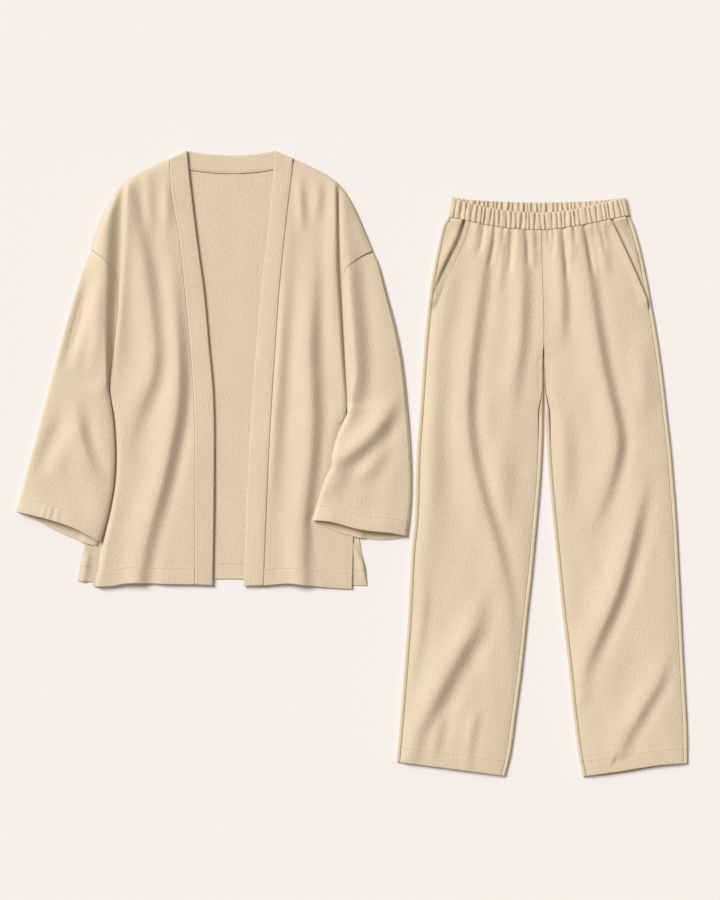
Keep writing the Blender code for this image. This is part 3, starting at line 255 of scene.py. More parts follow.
SLEEVE_FOLDS = {
    Side.LEFT: [
        (0, 4.2, 0, 22, 12, [(-271.8, -421.4), (-261.4, -476.4), (-249.4, -521.2), (-230.5, -555.6),
            (-209.8, -572.8)]),
        (0, -2.6, 0, 14, 16, [(-278.6, -436.9), (-301, -483.3), (-319.9, -528), (-337.1, -576.2)]),
        (0, -3.4, 0, 9, 11, [(-242.5, -201.2), (-256.3, -261.4), (-271.8, -321.6), (-292.4, -393.9)]),
        (0, 2.4, 0, 12, 12, [(-228.8, -208.1), (-232.2, -290.7), (-240.8, -402.5)]),
        (0.5, 0.9, 0, 3.4, 2.6, [(-322.5, -627.8), (-319.9, -619.2), (-316.5, -605.4)]),
        (0.4, 1.0, 0, 3.4, 2.6, [(-312.2, -631.2), (-309.6, -620.9), (-307, -607.2)]),
        (0.6, 0.8, 0, 3.4, 2.6, [(-299.3, -635.5), (-297.6, -626.1), (-294.1, -610.6)]),
    ],
    Side.RIGHT: [
        (0, 4.4, 0, 9, 15, [(197.8, -92.9), (203.8, -187.5), (209, -273.5), (214.1, -342.3),
            (215.9, -390.4), (207.3, -431.7), (190.9, -483.3), (175.4, -526.3)]),
        (0, 5.2, 3.0, 20, 15, [(290.7, -400.8), (270, -445.5), (246, -481.6), (215, -510.8), (187.5, -528),
            (168.6, -536.6)]),
        (0, 2.2, 1.0, 16, 15, [(208.1, -533.2), (184, -553.8), (156.5, -586.5)]),
        (0, 2.0, 0, 14, 14, [(275.2, -483.3), (242.5, -534.9), (208.1, -579.6)]),
        (0, 2.0, 0, 10, 10, [(208.1, -77.4), (223.6, -115.2), (235.6, -160)]),
    ],
}

# Lines on the trousers
LEG_OUTER = {
    Side.LEFT: [(-160, -6.5), (-168.6, -18.9), (-177.2, -53.3), (-184, -87.7), (-190.1, -122.1),
        (-193.8, -149.6), (-199.5, -208.1), (-204.7, -276.9), (-209.3, -345.7), (-214.1, -414.5),
        (-217.2, -517.7), (-223.6, -586.5), (-228.8, -689.7), (-233.9, -758.5), (-239.1, -827.3),
        (-244.2, -887.5), (-249.1, -941.5)],
    Side.RIGHT: [(151, -3.8), (158.6, -18.9), (168.7, -53.3), (176.6, -87.7), (183.5, -122.1),
        (188.5, -149.6), (198.8, -208.1), (208.5, -276.9), (216.4, -345.7), (223.9, -414.5),
        (232.2, -517.7), (236, -586.5), (241, -689.7), (244.4, -758.5), (247.9, -827.3), (251.1, -887.5),
        (251.5, -944.3)],
}
LEG_INNER = {
    Side.LEFT: [(4, -254.6), (3.6, -319.9), (2.8, -383.6), (1, -426.6), (-2.4, -478.2), (-8.6, -548.7),
        (-15.3, -620.9), (-23, -689.7), (-33, -784.3), (-43.2, -861.7), (-51.9, -925.4), (-61.9, -966.5)],
    Side.RIGHT: [(4.6, -254.6), (6.2, -319.9), (8.9, -383.6), (12, -436.9), (16.3, -486.8), (22.4, -552.1),
        (29.2, -620.9), (36.1, -689.7), (47.3, -784.3), (55, -861.7), (62.8, -921.9), (71, -967.2)],
}
CENTRE = [(0.3, -29.1), (1.7, -96.3), (4.5, -182.3), (4.3, -254.6)]
WAIST_TOP = [(-153.4, 28.2), (-139.3, 23), (-113.5, 14.8), (-75.7, 6.9), (-36.1, 2.4), (0, 1), (32.7, 3.4),
    (61.9, 7.9), (116.1, 20.6), (144.1, 27.5)]
WAIST_BACK_TOP = [(-153.4, 28.2), (-129, 24.4), (-103.2, 22.5), (-53.3, 20.3), (0, 19.1), (49.9, 20.3),
    (84.3, 21.7), (119.5, 24.4), (144.1, 27.5)]
WAIST_BACK_SEAM = [(-160, -6.5), (-87.7, -11), (0, -12.7), (84.3, -10), (151, -3.8)]
WAIST_SEAM = [(-160, -6.5), (-137.9, -10.8), (-113.5, -16.5), (-87.7, -21.3), (-44.7, -27.2), (0.3, -29.1),
    (32.7, -26.3), (61.9, -22), (91.2, -16.5), (119.2, -10.7), (151, -3.8)]
POCKET = {
    Side.LEFT: [(-130.4, -13.1), (-138.3, -41.3), (-155.3, -77.4), (-171.1, -110.1), (-186.4, -148.8)],
    Side.RIGHT: [(119.2, -10.7), (133.1, -39.6), (150, -75.7), (166.5, -112.8), (181.8, -148.8)],
}
LEG_HEM = {
    Side.LEFT: [(-249.1, -941.5), (-195.6, -948.6), (-117.1, -958.6), (-61.9, -966.5)],
    Side.RIGHT: [(71, -967.2), (111.8, -961.5), (155.5, -954.9), (201.2, -947.7), (251.5, -944.3)],
}
BACK_LEG_HEM = {
    Side.LEFT: LEG_HEM[Side.LEFT],
    Side.RIGHT: [(71, -967.2), (111.8, -965.3),
        (155.5, -959.1), (201.2, -950.5), (251.5, -944.3)],
}

LEG_FOLDS = {
    Side.LEFT: [
        (1.5, 3.6, 0, 18, 22, [(-146.2, -24.1), (-153.1, -82.6), (-166.8, -139.3), (-180.6, -199.5),
            (-189.2, -268.3), (-192.6, -371.5), (-196.1, -474.7), (-206.4, -595.1), (-218.4, -715.5)]),
        (2.6, 4.5, 0, 26, 12, [(-84.3, -20.6), (-101.5, -96.3), (-115.2, -182.3), (-126.4, -268.3),
            (-129.9, -337.1), (-125.6, -397.3), (-113.5, -457.5), (-98, -512.6), (-80.8, -571),
            (-63.6, -638.1), (-53.3, -715.5), (-58.5, -818.7)]),
        (2.6, 3.4, 0, 16, 12, [(-37.8, -27.5), (-34.4, -122.1), (-37.8, -216.7), (-48.2, -294.1),
            (-60.2, -380.1)]),
        (2.4, 1.6, 0, 9, 8, [(-65.4, -24.1), (-69.7, -82.6), (-75.7, -151.4)]),
        (2.2, 1.2, 0, 8, 8, [(-110.1, -17.2), (-115.2, -44.7), (-122.1, -82.6)]),
        (1.8, 1.0, 0, 7, 7, [(-13.8, -27.5), (-12.9, -61.9), (-12, -110.1)]),
        (0, 5.2, 2.6, 26, 17, [(-104.9, -620.9), (-117, -701.8), (-144.5, -753.4), (-178.9, -818.7),
            (-213.3, -884.1), (-227, -930.5)]),
        (0, 1.8, 0.6, 12, 10, [(-163.4, -844.5), (-180.6, -896.1), (-190.9, -947.7)]),
        (0, 1.4, 0.8, 11, 9, [(-108.4, -835.9), (-122.1, -896.1), (-129, -952.9)]),
        (0, 1.6, 0.6, 10, 10, [(-201.2, -595.1), (-208.1, -698.3), (-227, -801.5)]),
        (0, 2.6, 0, 20, 22, [(-61.9, -354.3), (-70.5, -405.9), (-65.4, -491.9), (-49.9, -560.7)]),
    ],
    Side.RIGHT: [
        (2.6, 3.4, 0, 16, 10, [(24.1, -25.8), (31, -96.3), (34.4, -165.1), (32.7, -242.5)]),
        (3.2, 5.2, 0, 26, 12, [(61.9, -20.6), (74, -87.7), (86, -168.6), (96.3, -233.9), (110.1, -302.7),
            (122.1, -350.9), (128.1, -392.2), (121.3, -433.4), (106.6, -483.3), (87.7, -526.3),
            (61.9, -577.9)]),
        (2.2, 1.4, 0, 8, 8, [(46.4, -24.1), (49.9, -53.3), (53.3, -92.9)]),
        (2.2, 1.6, 0, 9, 9, [(94.6, -15.5), (103.2, -61.9), (113.5, -122.1)]),
        (0, 2.2, 0, 16, 16, [(32.7, -311.3), (36.1, -405.9), (32.7, -543.5)]),
        (0, 5.2, 1.5, 28, 13, [(180.6, -409.4), (170.3, -474.7), (154.8, -543.5), (139.3, -607.2),
            (120.4, -663.9), (94.6, -724.1), (70.5, -780.9), (61.9, -835.9)]),
        (0, 3.2, 1.8, 22, 12, [(218.4, -732.7), (199.5, -798.1), (175.4, -841.1), (147.9, -889.2),
            (132.4, -921.9)]),
        (0, 2.4, 0, 20, 20, [(163.4, -199.5), (177.2, -285.5), (184, -371.5)]),
    ],
}
TUCKS = {
    Side.LEFT: [
        (-1.8, -1.6, 0, 2.6, 4.0, [(-137.6, -12), (-139.3, -31), (-144.5, -58.5)]),
        (-2.2, -2.2, 0, 3.0, 4.4, [(-99.8, -18.9), (-101.5, -41.3), (-108.4, -75.7)]),
        (-2.6, -3.4, 0, 3.0, 4.8, [(-80, -22.4), (-82.6, -51.6), (-92.9, -106.6)]),
        (-2.7, -3.4, 0, 3.0, 4.8, [(-50.7, -26.7), (-51.6, -55), (-55, -110.1)]),
        (-2.5, -3.0, 0, 3.0, 4.6, [(-25.8, -28.4), (-24.1, -53.3), (-22.4, -99.8)]),
        (-1.8, -1.4, 0, 2.6, 3.4, [(-8.6, -29.2), (-7.7, -43), (-6.9, -65.4)]),
        (-1.8, -1.4, 0, 2.6, 3.4, [(-65.4, -25.8), (-66.2, -37.8), (-67.1, -58.5)]),
    ],
    Side.RIGHT: [
        (-1.8, -1.4, 0, 2.6, 3.4, [(12, -28.4), (12.9, -43), (13.8, -65.4)]),
        (-2.2, -2.2, 0, 3.0, 4.4, [(20.6, -27.5), (19.8, -49.9), (16.3, -82.6)]),
        (-2.7, -3.8, 0, 3.0, 4.8, [(37, -25.8), (40.4, -61.9), (44.7, -130.7)]),
        (-1.9, -1.4, 0, 2.6, 3.6, [(55.9, -23.2), (56.8, -37.8), (57.6, -61.9)]),
        (-2.7, -3.8, 0, 3.0, 4.8, [(74, -19.8), (80, -56.8), (91.2, -120.4)]),
        (-2.2, -2.0, 0, 2.8, 4.0, [(98.9, -14.6), (103.2, -37.8), (111.8, -72.2)]),
    ],
}
WAIST_WIDTH = WAIST_SEAM[-1][0] - WAIST_SEAM[0][0]


class Hold(Enum):
    LAID = "laid"
    GATHERED = "gathered"


@dataclass(frozen=True)
class ArmShape:
    """How the cloth stands round one arm, in millimetres. The two sides lie differently.

    Attributes:
        body_edge: How far the body takes to round up beside the crease.
        body_edge_low: How much further it takes below the armhole.
        lean: Share of the swell on the body's side beside the sleeve.
        roll: Height of the roll along the arm's ridge.
        roll_width: Width of that roll.
        bank: Shares of the hollow at which the arm starts and stops climbing.
        seam_edge: How far the sleeve takes to round up below the armhole.
        fold_edge: How far it takes to round up inside its folded edge.
    """

    body_edge: float
    body_edge_low: float
    lean: float
    roll: float
    roll_width: float
    bank: tuple[float, float]
    seam_edge: float
    fold_edge: float


ARMS = {
    Side.LEFT: ArmShape(3.8, 0.0, 1.0, 10.4, 21, (0.12, 0.94), 5, 9),
    Side.RIGHT: ArmShape(1.5, 8.5, 0.0, 3.0, 16, (0.16, 1.0), 3, 16),
}


def line(rows: Rows | Array, count: int) -> Array:
    """Points evenly spaced along a smooth line through the rows.

    Args:
        rows: Points that the line passes through.
        count: Number of points wanted.

    Returns:
        The points, count x 2.
    """
    rows = np.asarray(rows, float)
    ends = np.vstack([2 * rows[0] - rows[1], rows, 2 * rows[-1] - rows[-2]])
    t = np.linspace(0, 1, SPLINE_STEPS + 1)[:-1, None]
    dense = [0.5 * (2 * b + (c - a) * t + (2 * a - 5 * b + 4 * c - d) * t**2 + (3 * b - a - 3 * c + d) * t**3)
             for a, b, c, d in zip(ends, ends[1:], ends[2:], ends[3:])]
    dense = np.vstack(dense + [rows[-1:]])
    along = np.r_[0, np.cumsum(np.hypot(*np.diff(dense, axis=0).T))]
    at = np.linspace(0, along[-1], count)
    return np.column_stack([np.interp(at, along, dense[:, k]) for k in (0, 1)])


def joined(*parts: tuple[Rows, int]) -> Array:
    """Several lines end to end, each given as rows and a number of steps."""
    lines = [line(rows, steps + 1) for rows, steps in parts]
    return np.vstack([lines[0]] + [part[1:] for part in lines[1:]])


def shifted(points: Array, distance: float) -> Array:
    """A line moved sideways, towards +X for a positive distance when it runs down the garment."""
    way = np.gradient(points, axis=0)
    way /= np.hypot(way[:, 0], way[:, 1])[:, None]
    return points + distance * np.column_stack([-way[:, 1], way[:, 0]])


def on_line(rows: Rows | Array, xs: Array | float) -> Array:
    """The y of a line that runs across the garment, at the x given."""
    dense = line(rows, 400)
    order = np.argsort(dense[:, 0])
    return np.interp(xs, dense[order, 0], dense[order, 1])


def between(first: Array, last: Array, shares: Array) -> Array:
    """Rows of points from one line to another, at the shares given of the way."""
    share = shares[None, :, None]
    return first[:, None] * (1 - share) + last[:, None] * share


def patch(left: Array, right: Array, top: Array, bottom: Array) -> Array:
    """A grid of points between four edges, row by row from the top."""
    v = np.linspace(0, 1, len(left))[:, None, None]
    u = np.linspace(0, 1, len(top))[None, :, None]
    corners = ((1 - u) * (1 - v) * top[0] + u * (1 - v) * top[-1]
               + (1 - u) * v * bottom[0] + u * v * bottom[-1])
    return (1 - v) * top[None] + v * bottom[None] + (1 - u) * left[:, None] + u * right[:, None] - corners


def beside(xy: Array, points: Array) -> tuple[Array, Array]:
    """How far points lie from a line, and where along it.

    Args:
        xy: Points of any grid shape, last axis x and y.
        points: The line's points.

    Returns:
        The distance, positive on the line's +X side when it runs down, and the share of the line run, 0 to 1.
    """
    flat = xy.reshape(-1, 2)
    best = np.full(len(flat), np.inf)
    signed, share = np.zeros(len(flat)), np.zeros(len(flat))
    for k, (start, way) in enumerate(zip(points[:-1], np.diff(points, axis=0))):
        out = flat - start
        t = np.clip(out @ way / (way @ way), 0, 1)
        off = out - t[:, None] * way
        gap = np.hypot(off[:, 0], off[:, 1])
        near = gap < best
        best[near] = gap[near]
        turn = np.sign(way[0] * off[:, 1] - way[1] * off[:, 0])
        signed[near] = (turn * gap)[near]
        share[near] = ((k + t) / (len(points) - 1))[near]
    return signed.reshape(xy.shape[:-1]), share.reshape(xy.shape[:-1])


def away(xy: Array, rows: Rows, count: int = 60) -> Array:
    """How far points lie from the smooth line through some rows, which is read at count points."""
    return np.abs(beside(xy, line(rows, count))[0])


def smooth(x: Array | float, low: float, high: float) -> Array:
    """0 below low, 1 above high, and an easy slope between."""
    t = np.clip((np.asarray(x, float) - low) / (high - low), 0, 1)
    return t * t * (3 - 2 * t)


def rise(distance: Array, width: Array | float) -> Array:
    """0 at an edge, rounding up to 1 inside it."""
    return 1 - np.exp(-np.maximum(distance, 0) / width)


def bell(distance: Array, width: Array | float) -> Array:
    """1 at 0, falling away evenly on both sides."""
    return np.exp(-(distance / width) ** 2)


def hem_step(inside: Array) -> Array:
    """How much thicker a piece is over its turned hem, from the distance inside the stitch line."""
    return HEM_STEP * smooth(inside, -1.5, 1.5)


def place(grid: Array, height: Array | float) -> Array:
    """Grid points with a height each, as x, y, z."""
    return np.dstack([grid, np.broadcast_to(height, grid.shape[:2])])


def resampled(grid: Array, rows: Array | None, cols: Array | None) -> Array:
    """A grid read again at other stations.

    Args:
        grid: Rows x columns x any.
        rows: Stations down, counted in rows, or None to keep them.
        cols: Stations across, counted in columns, or None to keep them.

    Returns:
        The new grid.
    """
    for axis, stations in ((0, rows), (1, cols)):
        if stations is None:
            continue
        low = np.clip(np.floor(stations).astype(int), 0, grid.shape[axis] - 2)
        part = (stations - low).reshape((-1, 1, 1) if axis == 0 else (1, -1, 1))
        grid = np.take(grid, low, axis) * (1 - part) + np.take(grid, low + 1, axis) * part
    return grid


def graded(count: int) -> Array:
    """Stations 0 to count with an extra one close to both ends, so that an edge can round over."""
    return np.r_[0, EDGE_STATION, np.arange(1, count), count - EDGE_STATION, count].astype(float)


def ripple(xy: Array, seed: float, lean: float = 0.0) -> Array:
    """Faint long ripples of worn cloth, about -1 to 1.

    Args:
        xy: Points in millimetres.
        seed: Moves the ripples about, so that no two panels are alike.
        lean: How far the ripples lean from the vertical, in x per y.

    Returns:
        The height at each point.
    """
    x, y = xy[..., 0] - lean * xy[..., 1], xy[..., 1]
    warp = 9 * np.sin(y / 61 + seed) + 5 * np.sin(y / 27 + 2.3 * seed) + 4 * np.sin((x + y) / 38 + seed)
    waves = (np.sin((x + warp) / 7.3 + 3.1 * seed) * np.sin(y / 83 + 1.7 * seed)
             + 0.8 * np.sin((x - 1.4 * warp) / 11.9 + seed) * np.sin(y / 57 + 0.6 * seed)
             + 0.6 * np.sin((x + 0.5 * y + warp) / 9.7 + 5 * seed) * np.sin((y - x) / 49 + seed))
    return waves / 2.4


@dataclass(frozen=True)
class FoldTable:
    """The soft folds of one panel, a row of the tables above for each."""

    rows: list[Fold]
    gain: float = 1.0

    def height(self, xy: Array) -> Array:
        """Summed height of the folds over a grid, in millimetres."""
        total = np.zeros(xy.shape[:-1])
        for first, middle, last, left, right, crest in self.rows:
            across, along = beside(xy, line(crest, 40))
            size = np.where(along < 0.5, first + (middle - first) * smooth(along, 0, 0.42),
                            last + (middle - last) * smooth(1 - along, 0, 0.42))
            crown = bell(across, np.where(across < 0, left, right))
            hollow = 0.32 * bell(across - 1.75 * right, 0.95 * right)
            total += size * (crown - hollow)
        return total * self.gain


class Socket:
    """A node's output, with the arithmetic that shader maths needs."""

    def __init__(self, nodes: "Nodes", socket: bpy.types.NodeSocket) -> None:
        """Wraps one output socket."""
        self.nodes = nodes
        self.socket = socket

    def _math(self, operation: str, *values: "Socket | float") -> "Socket":
        """One Math node on the values."""
        return self.nodes.make("ShaderNodeMath", {"operation": operation}, dict(enumerate(values)))

    def __add__(self, other: "Socket | float") -> "Socket":
        """self + other."""
        return self._math("ADD", self, other)

    def __radd__(self, other: float) -> "Socket":
        """other + self."""
        return self._math("ADD", other, self)

    def __sub__(self, other: "Socket | float") -> "Socket":
        """self - other."""
        return self._math("SUBTRACT", self, other)

    def __rsub__(self, other: float) -> "Socket":
        """other - self."""
        return self._math("SUBTRACT", other, self)

    def __mul__(self, other: "Socket | float") -> "Socket":
        """self * other."""
        return self._math("MULTIPLY", self, other)

    def sine(self) -> "Socket":
        """The sine."""
        return self._math("SINE", self)

    def ramp(self, low: float, high: float) -> "Socket":
        """0 below low, 1 above high, eased between."""
        return self.nodes.make("ShaderNodeMapRange", {"interpolation_type": "SMOOTHSTEP"},
                               {"Value": self, "From Min": low, "From Max": high})

    def groove(self, width: float) -> "Socket":
        """1 where the value is 0, falling to 0 at plus or minus width."""
        return 1 - self._math("ABSOLUTE", self).ramp(0.0, width)


class Nodes:
    """Makes nodes in one material."""

    def __init__(self, name: str) -> None:
        """Starts a material with its shader and output only."""
        self.material = bpy.data.materials.new(name)
        self.material.use_nodes = True
        self.tree = self.material.node_tree
        self.shader = self.tree.nodes["Principled BSDF"]

    def make(self, kind: str, settings: dict[str, object], inputs: dict, output: int | str = 0) -> Socket:
        """Adds one node.

        Args:
            kind: The node's type.
            settings: Its own settings, set first.
            inputs: Values or sockets by input name or number.
            output: The output that is wanted.

        Returns:
            That output.
        """
        node = self.tree.nodes.new(kind)
        for key, value in settings.items():
            setattr(node, key, value)
        for key, value in inputs.items():
            self.feed(node.inputs[key], value)
        return Socket(self, node.outputs[output])

    def feed(self, target: bpy.types.NodeSocket, value: object) -> None:
        """Links a Socket to an input, or sets a plain value on it."""
        if isinstance(value, Socket):
            self.tree.links.new(value.socket, target)
        else:
            target.default_value = value

    def dress(self, inputs: dict[str, object]) -> bpy.types.Material:
        """Feeds the shader's own inputs and gives back the finished material."""
        for key, value in inputs.items():
            self.feed(self.shader.inputs[key], value)
        return self.material

    def attribute(self, name: str, output: str = "Fac") -> Socket:
        """A value kept on the mesh's points."""
        return self.make("ShaderNodeAttribute", {"attribute_name": name}, {}, output)

    def noise(self, vector: Socket, grain: Triple, detail: float) -> Socket:
        """Noise about 0.5, with so many grains to the metre along each axis."""
        at = self.make("ShaderNodeVectorMath", {"operation": "MULTIPLY"}, {0: vector, 1: grain})
        return self.make("ShaderNodeTexNoise", {}, {"Vector": at, "Scale": 1.0, "Detail": detail})

    def mixed(self, share: Socket, first: tuple | Socket, second: tuple | Socket) -> Socket:
        """Two colours mixed."""
        return self.make("ShaderNodeMix", {"data_type": "RGBA"}, {"Factor": share, 6: first, 7: second}, 2)

    def bump(self, height: Socket) -> Socket:
        """The normal of a relief whose height is in metres."""
        return self.make("ShaderNodeBump", {}, {"Height": height, "Strength": 1.0, "Distance": 1.0})


def tinted(colour: Triple, tint: Triple) -> tuple[float, ...]:
    """A colour times a tint, with full alpha."""
    return tuple(c * t for c, t in zip(colour, tint)) + (1.0,)


@dataclass(frozen=True)
class ClothFinish:
    """A washed linen and cotton cloth with uneven yarns.

    The cloth's own directions come with each mesh as the attribute cut, in metres across and along the piece.
    The attribute hem is the distance inside a hem's stitch line and rim the distance from the piece's edge,
    both in millimetres.
    """

    name: str
    colour: Triple
    thread_pitch: float = 0.0011
    slub: float = 0.024
    crinkle: float = 0.0008
    warp_grain: Triple = (900.0, 26.0, 1.0)
    weft_grain: Triple = (30.0, 800.0, 1.0)
    mottle_grain: Triple = (16.0, 11.0, 1.0)
    crumple_grain: Triple = (230.0, 140.0, 1.0)
    fine_grain: Triple = (480.0, 240.0, 1.0)
    dark: Triple = (0.88, 0.86, 0.82)
    pale: Triple = (1.07, 1.08, 1.10)
    # tint that the cloth darkens towards as painted shade in the hem's stitch groove and along every edge
    painted_shade: Triple = (0.62, 0.62, 0.62)
    stitch_width: float = 0.9
    # width of the painted shade along every edge, in millimetres
    rim_shade_width: float = 1.6

    def material(self) -> bpy.types.Material:
        """Builds the material."""
        nodes = Nodes(self.name)
        cut = nodes.attribute("cut", "Vector")
        hem, rim = nodes.attribute("hem"), nodes.attribute("rim")
        warp = nodes.noise(cut, self.warp_grain, 1.0)
        weft = nodes.noise(cut, self.weft_grain, 1.0)
        mottle = nodes.noise(cut, self.mottle_grain, 3.0)
        crumple = nodes.noise(cut, self.crumple_grain, 3.0)
        fine = nodes.noise(cut, self.fine_grain, 2.0)
        yarn = (warp - 0.5) + (weft - 0.5)
        turns = FULL_TURN / self.thread_pitch
        across, along = (nodes.make("ShaderNodeSeparateXYZ", {}, {0: cut}, axis) for axis in (0, 1))
        weave = (across * turns).sine() * (along * turns).sine()
        # painted shade along the hem's stitch groove, beside its dent in the relief
        stitch = hem.groove(self.stitch_width)
        # painted shade along every edge of the piece, strongest at the edge
        seam = 1 - rim.ramp(0.0, self.rim_shade_width)
        share = 0.5 + (mottle - 0.5) * 0.35 + yarn * self.slub * 6 + (crumple - 0.5) * 0.2 + weave * 0.05
        dark, pale, painted_shade = (tinted(self.colour, tint) for tint in (self.dark, self.pale, self.painted_shade))
        cloth = nodes.mixed(share.ramp(0.0, 1.0), dark, pale)
        height = (crumple * self.crinkle + fine * (self.crinkle * 0.35) + yarn * 0.0001 + weave * 0.00005
                  - stitch * 0.00012 + hem.ramp(-2.0, 2.0) * 0.0005)
        return nodes.dress({
            # the mottled cloth, darkened a little towards the painted shade tint along the stitch groove and
            # every edge
            "Base Color": nodes.mixed(stitch * 0.03 + seam * 0.10, cloth, painted_shade),
            "Roughness": 0.86 + (fine - 0.5) * 0.12,
            "Normal": nodes.bump(height),
            "Specular IOR Level": 0.25,
            "Sheen Weight": 0.12,
            "Sheen Roughness": 0.6,
        })


@dataclass(frozen=True)
class ThreadFinish:
    """Twisted sewing thread, a little lighter than the cloth."""

    name: str
    colour: Triple
    # tint of the painted shade in the grooves of the twist
    groove: Triple = (0.78, 0.78, 0.78)

    def material(self) -> bpy.types.Material:
        """Builds the material."""
        nodes = Nodes(self.name)
        at = nodes.make("ShaderNodeTexCoord", {}, {}, "Object")
        twist = nodes.make("ShaderNodeTexWave", {"bands_direction": "DIAGONAL"},
                           {"Vector": at, "Scale": 900.0, "Distortion": 1.0})
        return nodes.dress({
            # the colour darkens along the twist's grooves as painted shade
            "Base Color": nodes.mixed(twist, tinted(self.colour, self.groove), self.colour + (1.0,)),
            "Roughness": 0.62 + twist * 0.15,
            "Normal": nodes.bump(twist * 0.0001),
        })


@dataclass(frozen=True)
class FloorFinish:
    """Matt paper with a faint speckle."""

    name: str = "floor_paper"
    colour: Triple = (0.852, 0.824, 0.834)
    grain: Triple = (160.0, 160.0, 1.0)
    dark: Triple = (0.985, 0.985, 0.985)

    def material(self) -> bpy.types.Material:
        """Builds the material."""
        nodes = Nodes(self.name)
        speckle = nodes.noise(nodes.make("ShaderNodeTexCoord", {}, {}, "Object"), self.grain, 3.0)
        return nodes.dress({
            "Base Color": nodes.mixed(speckle, tinted(self.colour, self.dark), self.colour + (1.0,)),
            "Roughness": 0.95,
            "Specular IOR Level": 0.1,
        })


